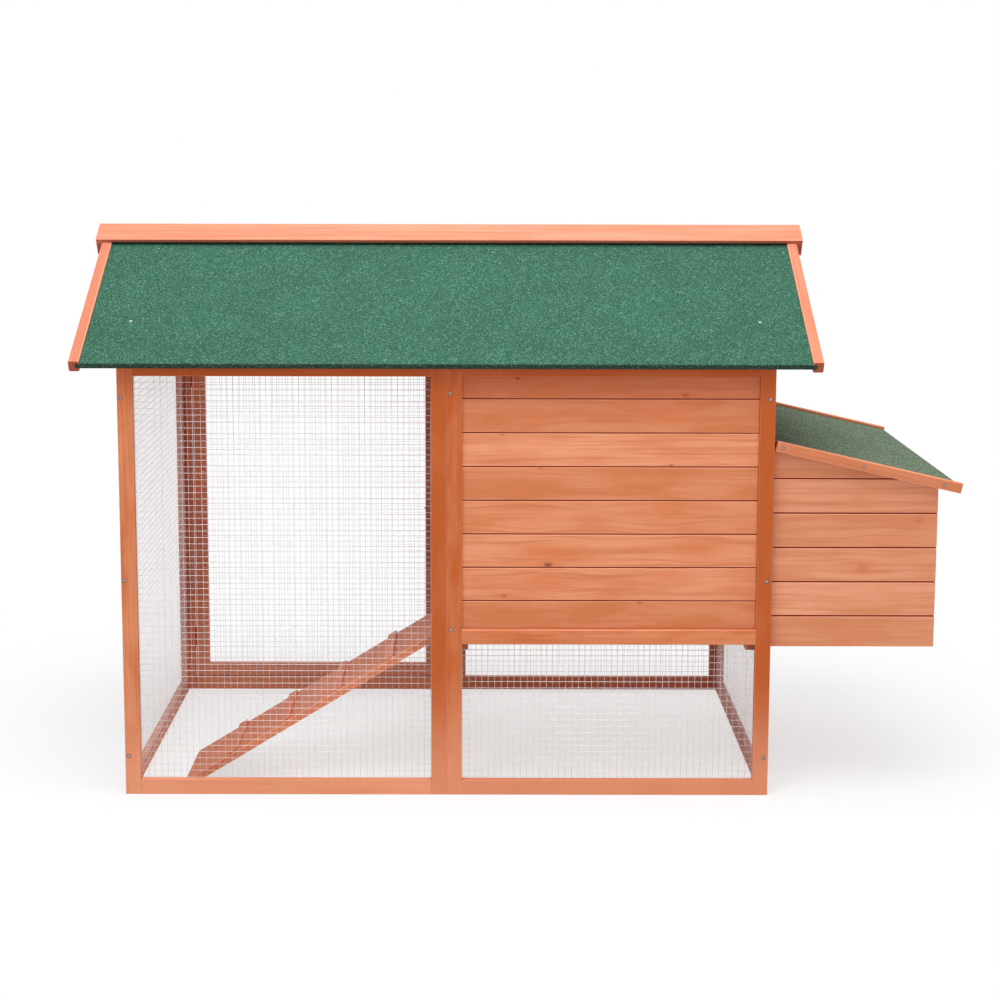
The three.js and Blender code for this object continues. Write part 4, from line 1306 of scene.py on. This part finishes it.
@dataclass
class Roof:
    """Two felted slopes with barge boards and a boarded ridge."""

    paints: Paints
    frames: Frames
    panel: float = 10.0
    felt: float = 2.5
    gable_overhang: float = 86.0
    eave_overhang: float = 22.0
    barge: tuple[float, float] = (20.0, 23.0)
    rise: float = 6.0
    rebate: float = 8.0
    ridge: tuple[float, float] = (44.0, 8.5)
    ridge_overhang: float = 12.0
    block: tuple[float, float] = (30.0, 15.0)
    seat: float = 0.3
    spare: float = 30.0  # how far each piece reaches past the ridge before it is cut plumb
    ridge_spare: float = 20.0  # the same for the ridge boards
    rows: int = 5  # boards of the deck
    deck_gap: float = 0.6

    def __post_init__(self) -> None:
        """Works out the slope's directions."""
        angle = math.radians(ROOF_PITCH)
        self.down = Vector((0.0, -math.cos(angle), -math.sin(angle)))
        self.out = Vector((0.0, -math.sin(angle), math.cos(angle)))
        self.ridge_y = self.frames.depth / 2 - self.seat / 2
        self.apex = self.frames.height + self.seat + self.ridge_y * math.tan(angle)
        self.run = (self.ridge_y + self.eave_overhang) / math.cos(angle)
        middle = at(self.frames.length / 2, self.frames.depth / 2, 0)
        self.turn_round = Matrix.Translation(middle) @ Matrix.Rotation(math.pi, 4, "Z") @ Matrix.Translation(-middle)

    def on_slope(self, x: float, along: float, out: float) -> Vector:
        """A place on the front slope: down from the ridge, and out from the underside."""
        return at(x, self.ridge_y, self.apex) + (self.down * along + self.out * out) * MM

    def build(self) -> None:
        """Makes both slopes."""
        for side, turn in (("front", Matrix.Identity(4)), ("rear", self.turn_round)):
            self.slope(side, turn)

    def finish(self, piece: Timber, turn: Matrix, slot: Slot, material: bpy.types.Material, *nodes: str) -> None:
        """Cuts a piece plumb at the ridge, turns it to its slope and finishes it."""
        piece.trim(at(0, self.ridge_y, 0), Way.REAR.vector)
        bmesh.ops.transform(piece.mesh, matrix=turn, verts=piece.mesh.verts)
        piece.finish(Body.COOP, slot, material, *nodes)

    def slope(self, side: str, turn: Matrix) -> None:
        """Makes the boards, felt, barge boards and ridge board of one slope."""
        start = -self.gable_overhang
        end = self.frames.length + self.gable_overhang
        over = self.spare
        near = self.barge[0] - self.rebate + self.seat
        low, span = start + near, end - start - near * 2

        # The deck, in boards that run along the roof.
        deck = Timber(f"{side}_roof_deck")
        thickness = self.panel - self.felt
        row = (self.run - self.felt + over) / self.rows
        for index in range(self.rows):
            middle = self.on_slope(low + span / 2, self.run - self.felt - row * (index + 0.5), thickness / 2)
            deck.stick((span, row - self.deck_gap, thickness), placed(Way.RIGHT.vector, self.out, middle), 0.5)
        self.finish(deck, turn, Slot.FIR, self.paints.inner)

        # The felt lies on the deck and is turned down over its eave edge.
        place = placed(Way.RIGHT.vector, self.out, self.on_slope(low, 0, 0))
        felt = Timber(f"{side}_roof_felt")
        turned = -self.run + 2.2
        profile = [(over, thickness), (turned, thickness), (turned, self.panel), (over, self.panel)]
        felt.prism(profile, span, place)
        self.finish(felt, turn, Slot.FELT, self.paints.felt, f"{side}_roof_panel")
        # The turned-down edge takes the darker felt, a painted shade.
        edge = Timber(f"{side}_roof_felt_edge")
        edge.prism([(turned, 0.6), *fold(-self.run, -1.0, self.panel)], span, place)
        self.finish(edge, turn, Slot.FELT, self.paints.felt_edge)

        first, second = ("left", "right") if side == "front" else ("right", "left")
        for name, x, flip in ((first, start, 1.0), (second, end, -1.0)):
            barge = Timber(f"{side}_{name}_barge_fir")
            top = self.panel + self.rise
            section = rebated(self.barge, top, self.panel, self.rebate, self.seat, 2.0, True)
            local = placed(self.down, self.out, self.on_slope(x, -over, 0))
            across = (local.to_3x3() @ Vector((0.0, 1.0, 0.0))).x * flip
            barge.prism([(u * across, v) for u, v in section], self.run + over, local)
            self.finish(barge, turn, Slot.PALE, self.paints.roof, f"{side}_{name}_barge_board")

        self.ridge_board(side, turn, start - self.ridge_overhang, end + self.ridge_overhang)

    def ridge_board(self, side: str, turn: Matrix, start: float, end: float) -> None:
        """Makes a ridge board with a block under each end."""
        board = Timber(f"{side}_ridge_fir")
        width, thickness = self.ridge
        low = self.panel + self.rise + self.seat
        ease = 2.2
        # The lower edge, which faces down the slope, takes the seam colour as painted shade.
        profile: list[Corner] = [
            (self.ridge_spare, low, 0.0),
            (-width + 0.5, low, 0.3),
            (-width, low + 0.5, 0.5),
            (-width, low + thickness - ease, 0.5),
            (-width + ease, low + thickness, 0.0),
            (self.ridge_spare, low + thickness, 0.0),
        ]
        board.prism(profile, end - start, placed(Way.RIGHT.vector, self.out, self.on_slope(start, 0, 0)))
        depth, block_width = self.block
        reach = self.ridge_overhang - self.seat
        # The end blocks take the seam colour in part, as painted shade under the ridge board.
        for x in (start, end - reach):
            place = self.on_slope(x + reach / 2, width - block_width / 2, low - depth / 2)
            board.stick((depth, block_width, reach), placed(self.out, Way.RIGHT.vector, place), 0.8, stain=0.65)
        self.finish(board, turn, Slot.PALE, self.paints.roof, f"{side}_ridge_board")


@dataclass
class NestBox:
    """The nest box on the right wall and its lifting lid."""

    paints: Paints
    frames: Frames
    depth: float = 322.0
    setback: float = 17.0
    bottom: float = 297.5
    boarding: Boarding = Boarding(8.0, 68.2, 359.2, open_joint=3.1)
    front_tones: tuple[float, ...] = (-0.1, 0.9, 0.3, -0.2, 0.1, -0.4)
    lid_pitch: float = 12.9
    lid_thickness: float = 10.0
    lid_overhang: float = 40.0
    lid_rise: float = 5.5
    trim_size: tuple[float, float] = (15.0, 20.0)
    trim_rise: float = 6.0
    trim_rebate: float = 6.0
    knuckle: float = 3.0
    felt: float = 2.5
    seat: float = 0.3
    gap: float = 1.5  # between the lid and the wall
    rows: int = 4  # boards of the lid
    deck_gap: float = 0.5

    def __post_init__(self) -> None:
        """Works out the lid's directions and ends."""
        angle = math.radians(self.lid_pitch)
        self.down = Vector((math.cos(angle), 0.0, -math.sin(angle)))
        self.out = Vector((math.sin(angle), 0.0, math.cos(angle)))
        self.axis_x = self.frames.length + self.seat + self.knuckle
        self.axis_z = self.frames.lid_rail + self.lid_rise
        self.under = self.knuckle + self.seat + self.lid_thickness
        lowest = self.lid_thickness + self.trim_rise - self.trim_size[1]
        self.start = (self.gap + self.frames.length - self.flat_x(lowest)) / math.cos(angle)
        end = self.frames.length + self.depth + self.lid_overhang
        self.end = (end - self.flat_x(0.0)) / math.cos(angle)

    def flat_x(self, out: float) -> float:
        """The X of the lid's layer right below the hinge axis."""
        return self.axis_x - (self.under - out) * math.sin(math.radians(self.lid_pitch))

    def on_lid(self, along: float, y: float, out: float) -> Vector:
        """A place on the lid: along from the hinge axis, and out from its underside."""
        return at(self.axis_x, y, self.axis_z) + (self.down * along + self.out * (out - self.under)) * MM

    def build(self) -> None:
        """Makes the walls, the inside and the lid."""
        frames = self.frames
        length = frames.length
        top = frames.lid_rail
        near, far = self.setback, frames.depth - self.setback
        thick = self.boarding.thickness
        walls = {
            "nest_front_wall": (self.depth, Way.RIGHT, Way.FRONT, at(length, near + thick, 0)),
            "nest_rear_wall": (self.depth, Way.LEFT, Way.REAR, at(length + self.depth, far - thick, 0)),
            "nest_end_wall": (
                far - near - thick * 2,
                Way.REAR,
                Way.RIGHT,
                at(length + self.depth - thick, near + thick, 0),
            ),
        }
        for node, (span, along, outward, start) in walls.items():
            wall = BoardedWall(f"{node}_fir")
            tones = self.front_tones if outward is Way.FRONT else ()
            wall.boards(self.boarding, (self.bottom, top), span, along, outward, start, tones=tones)
            wall.trim(self.on_lid(0, 0, -self.seat), self.out)
            wall.finish(Body.COOP, Slot.FIR, self.paints.nest, node)
        for node in ("nest_floor", "nest_divider"):
            low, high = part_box(node)
            board = Timber(f"{node}_fir")
            board.between(low, high, Way.RIGHT, Way.UP if node == "nest_floor" else Way.FRONT, 0.8)
            board.finish(Body.COOP, Slot.FIR, self.paints.inner, node)
        self.lid()

    def lid(self) -> None:
        """Makes the lid's board, felt and trims."""
        depth = self.frames.depth
        near = self.trim_size[0] - self.trim_rebate + self.seat
        board = Timber("nest_lid_deck")
        thickness = self.lid_thickness - self.felt
        row = (depth - near * 2) / self.rows
        for index in range(self.rows):
            place = self.on_lid((self.start + self.end - self.felt) / 2, near + row * (index + 0.5), thickness / 2)
            size = (self.end - self.start - self.felt, row - self.deck_gap, thickness)
            board.stick(size, placed(self.down, self.out, place), 0.5)
        board.finish(Body.LID, Slot.FIR, self.paints.inner)

        felt = Timber("nest_lid_felt")
        profile = [
            (self.start, thickness),
            (self.end - self.felt, thickness),
            (self.end - self.felt, 0.6),
            *fold(self.end, 1.0, self.lid_thickness),
            (self.start, self.lid_thickness),
        ]
        felt.prism(profile, depth - near * 2, self._across(near))
        felt.finish(Body.LID, Slot.FELT, self.paints.grey_felt, "nest_lid")

        top = self.lid_thickness + self.trim_rise
        for node, y, flip in (("nest_lid_front_trim", 0.0, 1.0), ("nest_lid_rear_trim", depth, -1.0)):
            trim = Timber(f"{node}_fir")
            section = rebated(self.trim_size, top, self.lid_thickness, self.trim_rebate, self.seat, 1.1, False)
            local = placed(self.down, self.out, self.on_lid(self.start, y, 0))
            across = (local.to_3x3() @ Vector((0.0, 1.0, 0.0))).y * flip
            trim.prism([(u * across, v) for u, v in section], self.end - self.start, local)
            trim.finish(Body.LID, Slot.PALE, self.paints.trim, node)

    def _across(self, y: float) -> Matrix:
        """Places a section of (along, out) points so that it is swept to the rear."""
        place = self.on_lid(0, y, 0)
        turn = Matrix((Way.REAR.vector, self.down, self.out)).transposed().to_4x4()
        return Matrix.Translation(place) @ turn


@dataclass
class Ramp:
    """The cleated ramp up to the pop hole."""

    paints: Paints
    frames: Frames
    slope: float = 31.5
    thickness: float = 14.0
    width: float = 197.0
    setback: float = 75.0
    sill: float = 320.0
    knuckle: float = 3.0
    seat: float = 0.3
    cleats: int = 4
    cleat: tuple[float, float] = (20.0, 5.5)
    first_cleat: float = 105.0
    cleat_pitch: float = 123.0

    def __post_init__(self) -> None:
        """Works out the ramp's directions and ends."""
        angle = math.radians(self.slope)
        self.up = Vector((math.cos(angle), 0.0, math.sin(angle)))
        self.out = Vector((-math.sin(angle), 0.0, math.cos(angle)))
        self.end = self.frames.bay - (self.seat + self.knuckle) * 2
        self.foot = self.end - self.sill / math.tan(angle)
        self.length = self.sill / math.sin(angle)

    def on_ramp(self, along: float, across: float, height: float) -> Vector:
        """A place on the ramp: up from its foot, across from its middle, and out from its upper face."""
        middle = self.setback + self.width / 2
        return at(self.foot, middle + across, 0) + (self.up * along + self.out * height) * MM

    def build(self) -> None:
        """Makes the board, its cleats and their screws."""
        over = 40.0
        board = Timber("ramp_fir")
        place = self.on_ramp(self.length / 2, 0, -self.thickness / 2)
        board.stick((self.length + over * 2, self.width, self.thickness), placed(self.up, self.out, place))
        board.trim(at(0, 0, 0), Way.DOWN.vector)
        board.trim(at(self.end, 0, 0), Way.RIGHT.vector)
        width, height = self.cleat
        for index in range(self.cleats):
            place = self.on_ramp(self.first_cleat + index * self.cleat_pitch + width / 2, 0, height / 2)
            board.stick((self.width, width, height), placed(Way.REAR.vector, self.out, place), 0.9)
        board.finish(Body.RAMP, Slot.FIR, self.paints.ramp, "ramp")
        screws = Fixings("ramp_screws")
        for across in (-84.0, 84.0):
            screws.screw(self.on_ramp(68.8, across, 0), self.out, 2.6)
        screws.finish(Body.RAMP, Slot.ZINC, self.paints.zinc)


@dataclass
class RearDoor:
    """The framed door in the rear of the run."""

    paints: Paints
    stock: float = 30.0

    def build(self) -> None:
        """Makes the door's stiles and rails."""
        low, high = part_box("rear_door_frame")
        stock = self.stock * MM
        door = Timber("rear_door_timber")
        for x in (low.x, high.x - stock):
            door.between(Vector((x, low.y, low.z)), Vector((x + stock, high.y, high.z)), Way.UP, Way.REAR)
        for z in (low.z, high.z - stock):
            start = Vector((low.x + stock, low.y, z))
            door.between(start, Vector((high.x - stock, high.y, z + stock)), Way.RIGHT, Way.REAR)
        # The door's outer faces take the seam colour as painted shade in the gap round it.
        rim = Vector((REVEAL, -1.0, REVEAL)) * MM
        door.paint_gap_shade(low + rim, high - rim, False)
        door.finish(Body.DOOR, Slot.FIR, self.paints.inner, "rear_door_frame")


@dataclass
class Tray:
    """The droppings tray, its pull and its runners."""

    paints: Paints
    thickness: float = 6.0
    lip: float = 8.0
    face: float = 15.0
    ease: float = 0.8
    runners: tuple[tuple[str, float, float, float], ...] = (
        ("left_tray_runner", 645.5, 675.5, 663.5),
        ("right_tray_runner", 1250.2, 1220.2, 1237.0),
    )
    ledge: tuple[float, float, float] = (290.3, 305.3, 329.6)  # the batten's foot and top, and the cheek's top
    pull: tuple[float, float, float] = (90.0, 22.0, 12.0)
    pull_taper: float = 11.0

    def build(self) -> None:
        """Makes the tray, its pull and the runners."""
        self.box()
        self.handle()
        for node, outer, ledge, cheek in self.runners:
            low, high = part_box(node)
            near, far = (low.y - CORNER.y) / MM, (high.y - CORNER.y) / MM
            foot, seat, top = self.ledge
            runner = Timber(f"{node}_fir")
            left, right = sorted((outer, ledge))
            runner.between(at(left, near, foot), at(right, far, seat), Way.REAR, Way.UP)
            left, right = sorted((outer, cheek))
            runner.between(at(left, near, seat), at(right, far, top), Way.REAR, Way.UP)
            # The runners take the darker copy, painted shade under the house.
            runner.finish(Body.COOP, Slot.FIR, self.paints.shaded, node)

    def box(self) -> None:
        """Makes the tray's floor, lips and face."""
        low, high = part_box("droppings_tray")
        lip = self.lip * MM
        floor_top = low.z + self.thickness * MM
        back = high.y - self.face * MM
        near, left, right = low.y, low.x + lip, high.x - lip
        tray = Timber("droppings_tray_fir")
        for start, end, along, outward, ease in (
            (low, (high.x, high.y, floor_top), Way.RIGHT, Way.UP, self.ease),
            ((low.x, near, floor_top), (left, back, high.z), Way.REAR, Way.LEFT, self.ease),
            ((right, near, floor_top), (high.x, back, high.z), Way.REAR, Way.RIGHT, self.ease),
            ((left, near, floor_top), (right, near + lip, high.z), Way.RIGHT, Way.FRONT, self.ease),
            ((low.x, back, floor_top), high, Way.RIGHT, Way.REAR, Timber.EDGE),
        ):
            tray.between(Vector(start), Vector(end), along, outward, ease)
        tray.finish(Body.TRAY, Slot.FIR, self.paints.inner, "droppings_tray")

    def handle(self) -> None:
        """Makes the pull, whose ends slant towards the hand."""
        low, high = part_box("tray_pull")
        pull = Timber("tray_pull_fir")
        pull.stick(self.pull, placed(Way.RIGHT.vector, Way.UP.vector, (low + high) / 2), 1.6)
        for side, x in ((-1.0, low.x), (1.0, high.x)):
            pull.trim(Vector((x, low.y, 0.0)), Vector((side * self.pull[1], self.pull_taper, 0.0)).normalized())
        pull.finish(Body.TRAY, Slot.FIR, self.paints.trim, "tray_pull")


@dataclass
class Hardware:
    """The screws and nails that hold the coop together."""

    paints: Paints
    frames: Frames
    roof: Roof
    nest: NestBox
    frame_screws: tuple[Point, ...] = (
        (7.5, 790.0),
        (7.5, 431.0),
        (7.5, 78.0),
        (641.0, 800.0),
        (642.0, 334.0),
        (1256.5, 789.0),
        (1256.5, 432.0),
        (1257.5, 77.0),
    )
    leaf: float = 1.5  # how thick the hinge leaves are
    spread: float = 16.67  # how far a leaf's outer holes are from its middle
    hinge_head: float = 2.4
    trim_head: float = 3.0
    sinks: Point = (4.4, 3.8)  # round the heads in the frames and in the lid's trims

    def build(self) -> None:
        """Drives every screw and nail."""
        self.frame_heads()
        self.roof_nails()
        self.door_screws()
        self.lid_screws()
        ramp = Fixings("ramp_hinge_screws")
        for across in (133.5, 213.5):
            ramp.screw(at(632.0, across, 309.5), Way.LEFT.vector, self.hinge_head)
        ramp.finish(Body.COOP, Slot.ZINC, self.paints.zinc)

    def frame_heads(self) -> None:
        """Screws the side frames to the front and rear ones, and the two bays together."""
        for side, y, outward in (("front", 0.0, Way.FRONT), ("rear", self.frames.depth, Way.REAR)):
            heads = Fixings(f"{side}_frame_screws")
            sinks = Timber(f"{side}_frame_screw_sinks")
            for x, z in self.frame_screws:
                heads.screw(at(x, y, z), outward.vector)
                sinks.sink(at(x, y, z), outward.vector, self.sinks[0])
            heads.finish(Body.COOP, Slot.ZINC, self.paints.screw)
            sinks.finish(Body.COOP, Slot.FIR, self.paints.sunk)

    def roof_nails(self) -> None:
        """Nails down the felt and the ridge boards."""
        for side, turn in (("front", Matrix.Identity(4)), ("rear", self.roof.turn_round)):
            nails = Fixings(f"{side}_felt_nails")
            for x in (13.0, self.frames.length - 20.0):
                nails.nail(self.roof.on_slope(x, 317.0, self.roof.panel + 0.3), self.roof.out, 4.0)
            pins = Fixings(f"{side}_ridge_nails")
            face = self.roof.panel + self.roof.rise + self.roof.seat + self.roof.ridge[1]
            for x in (17.8, self.frames.length - 21.0):
                pins.nail(self.roof.on_slope(x, 25.0, face - 0.4), self.roof.out, 2.2)
            for heads, paint in ((nails, self.paints.nail), (pins, self.paints.painted_nail)):
                bmesh.ops.transform(heads.mesh, matrix=turn, verts=heads.mesh.verts)
                heads.finish(Body.COOP, Slot.ZINC, paint)

    def door_screws(self) -> None:
        """Screws the door hinges' leaves down."""
        y = self.frames.depth + self.leaf
        for body, name, x in ((Body.COOP, "frame", 18.75), (Body.DOOR, "door", 43.75)):
            heads = Fixings(f"door_hinge_{name}_screws")
            for middle in (122.5, 739.5):
                for z in (middle - self.spread, middle + self.spread):
                    heads.screw(at(x, y, z), Way.REAR.vector, self.hinge_head)
            heads.finish(body, Slot.ZINC, self.paints.zinc)

    def lid_screws(self) -> None:
        """Screws the lid hinges' leaves and the lid's front trim down."""
        wall = Fixings("lid_hinge_wall_screws")
        lid = Fixings("lid_hinge_lid_screws")
        sinks = Timber("lid_trim_screw_sinks")
        for middle in (180.0, 570.0):
            for y in (middle - self.spread, middle + self.spread):
                wall.screw(at(self.frames.length + self.leaf, y, 718.0), Way.RIGHT.vector, self.hinge_head)
                place = self.nest.on_lid(12.5, y, self.nest.lid_thickness + self.leaf)
                lid.screw(place, self.nest.out, self.hinge_head)
        wall.finish(Body.COOP, Slot.ZINC, self.paints.zinc)
        middle = self.nest.lid_thickness + self.nest.trim_rise - self.nest.trim_size[1] / 2
        for y, outward in ((0.0, Way.FRONT), (self.frames.depth, Way.REAR)):
            for along in (14.0, 175.0, 336.0):
                lid.screw(self.nest.on_lid(along, y, middle), outward.vector, self.trim_head)
                sinks.sink(self.nest.on_lid(along, y, middle), outward.vector, self.sinks[1])
        lid.finish(Body.LID, Slot.ZINC, self.paints.screw)
        sinks.finish(Body.LID, Slot.FIR, self.paints.sunk)


@dataclass
class Studio:
    """The camera, the lamps and the pale floor."""

    focal_pixels: float = 1925.7
    picture: float = 1000.0
    sensor: float = 36.0
    principal: Point = (483.3, 400.0)
    eye: tuple[float, float, float] = (704.45, -3666.3, 1285.5)
    pitch: float = 7.74
    roll: float = 0.11

    def build(self) -> None:
        """Sets up the whole studio."""
        self.camera()
        self.lamps()
        self.world()
        self.floor()

    def camera(self) -> None:
        """Stands the camera where the photograph was taken from."""
        data = bpy.data.cameras.new("camera")
        data.sensor_width = self.sensor
        data.lens = self.focal_pixels * self.sensor / self.picture
        data.shift_x = (self.picture / 2 - self.principal[0]) / self.picture
        data.shift_y = (self.principal[1] - self.picture / 2) / self.picture
        data.clip_end = 60.0
        pitch, roll = math.radians(self.pitch), math.radians(self.roll)
        ahead = Vector((0.0, math.cos(pitch), -math.sin(pitch)))
        above = Vector((0.0, math.sin(pitch), math.cos(pitch)))
        right = Vector((1.0, 0.0, 0.0))
        turned_right = right * math.cos(roll) + above * math.sin(roll)
        turned_up = above * math.cos(roll) - right * math.sin(roll)
        turn = Matrix((turned_right, turned_up, -ahead)).transposed().to_4x4()
        camera = stand("camera", data)
        camera.matrix_world = Matrix.Translation(at(*self.eye)) @ turn
        bpy.context.scene.camera = camera

    def lamps(self) -> None:
        """Hangs soft lamps above and in front."""
        lamps = {
            "top_lamp": ((0.0, -0.8, 3.8), 3.0, 109.0),
            "key_lamp": ((-0.9, -2.4, 3.9), 2.2, 51.0),
            "fill_lamp": ((0.8, -3.9, 1.5), 2.4, 23.0),
            "rear_lamp": ((0.0, 3.2, 3.2), 2.6, 46.0),
        }
        for name, (place, size, power) in lamps.items():
            data = bpy.data.lights.new(name, "AREA")
            data.shape = "DISK"
            data.size = size
            data.energy = power
            aim = Vector((0.0, 0.0, 0.5)) - Vector(place)
            turn = aim.to_track_quat("-Z", "Y").to_matrix().to_4x4()
            stand(name, data).matrix_world = Matrix.Translation(place) @ turn

    def world(self) -> None:
        """Lights the coop softly all round and shows white behind it."""
        world = bpy.data.worlds.new("studio")
        world.use_nodes = True
        bpy.context.scene.world = world
        bench = NodeBench(world.node_tree)
        background = world.node_tree.nodes["Background"]
        background.inputs["Color"].default_value = (1.0, 1.0, 1.0, 1.0)
        bench.join(bench.ramp(bench.direct(), 0.0, 1.0, 0.36, 1.0), background.inputs["Strength"])

    def floor(self) -> None:
        """Lays a white floor that keeps the coop's shadow."""
        mesh = bmesh.new()
        bmesh.ops.create_grid(mesh, x_segments=1, y_segments=1, size=20.0)
        data = bpy.data.meshes.new("floor")
        mesh.to_mesh(data)
        mesh.free()
        floor = stand("floor", data)
        floor.location.z = -0.0005
        material, bench, shader = new_material("white_floor")
        shader.inputs["Base Color"].default_value = (0.87, 0.9, 0.915, 1.0)
        shader.inputs["Roughness"].default_value = 1.0
        shader.inputs["Specular IOR Level"].default_value = 0.0
        # Camera rays see the floor partly as a glow: less of it near the coop, where its shadow shows, and all of it
        # further out.
        glow = bench.add("Emission")
        mix = bench.add("MixShader")
        moved = bench.vector("ADD", bench.add("TexCoord").outputs["Object"], (0.22, 0.0, 0.0))
        reach = bench.vector("MULTIPLY", moved, (0.72, 1.0, 1.0))
        share = bench.ramp(bench.vector("LENGTH", reach), 0.45, 1.35, 0.64, 1.0)
        bench.join(bench.math("MULTIPLY", bench.direct(), share), mix.inputs[0])
        bench.join(shader.outputs[0], mix.inputs[1])
        bench.join(glow.outputs[0], mix.inputs[2])
        bench.join(mix.outputs[0], material.node_tree.nodes["Material Output"].inputs["Surface"])
        data.materials.append(material)


def dress_nodes(paints: Paints) -> None:
    """Gives the solids that stay the finish that the real pieces have."""
    for name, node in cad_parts.items():
        if node.hide_render:
            continue
        is_metal = "hinge" in name or "bolt" in name
        material = paints.zinc if is_metal else paints.inner
        node.data.materials.clear()
        node.data.materials.append(material)


def main() -> None:
    """Builds the coop's sub-assemblies and the studio in order."""
    logging.basicConfig(level=logging.INFO, format="%(name)s: %(message)s")
    paints = Paints()
    frames = Frames(paints)
    roof = Roof(paints, frames)
    nest = NestBox(paints, frames)
    for part in (
        Studio(),
        frames,
        Netting(paints),
        House(paints, frames),
        roof,
        nest,
        Ramp(paints, frames),
        RearDoor(paints),
        Tray(paints),
        Hardware(paints, frames, roof, nest),
    ):
        part.build()
    dress_nodes(paints)
    bpy.context.scene.view_settings.view_transform = "Standard"


if __name__ == "__main__":
    main()
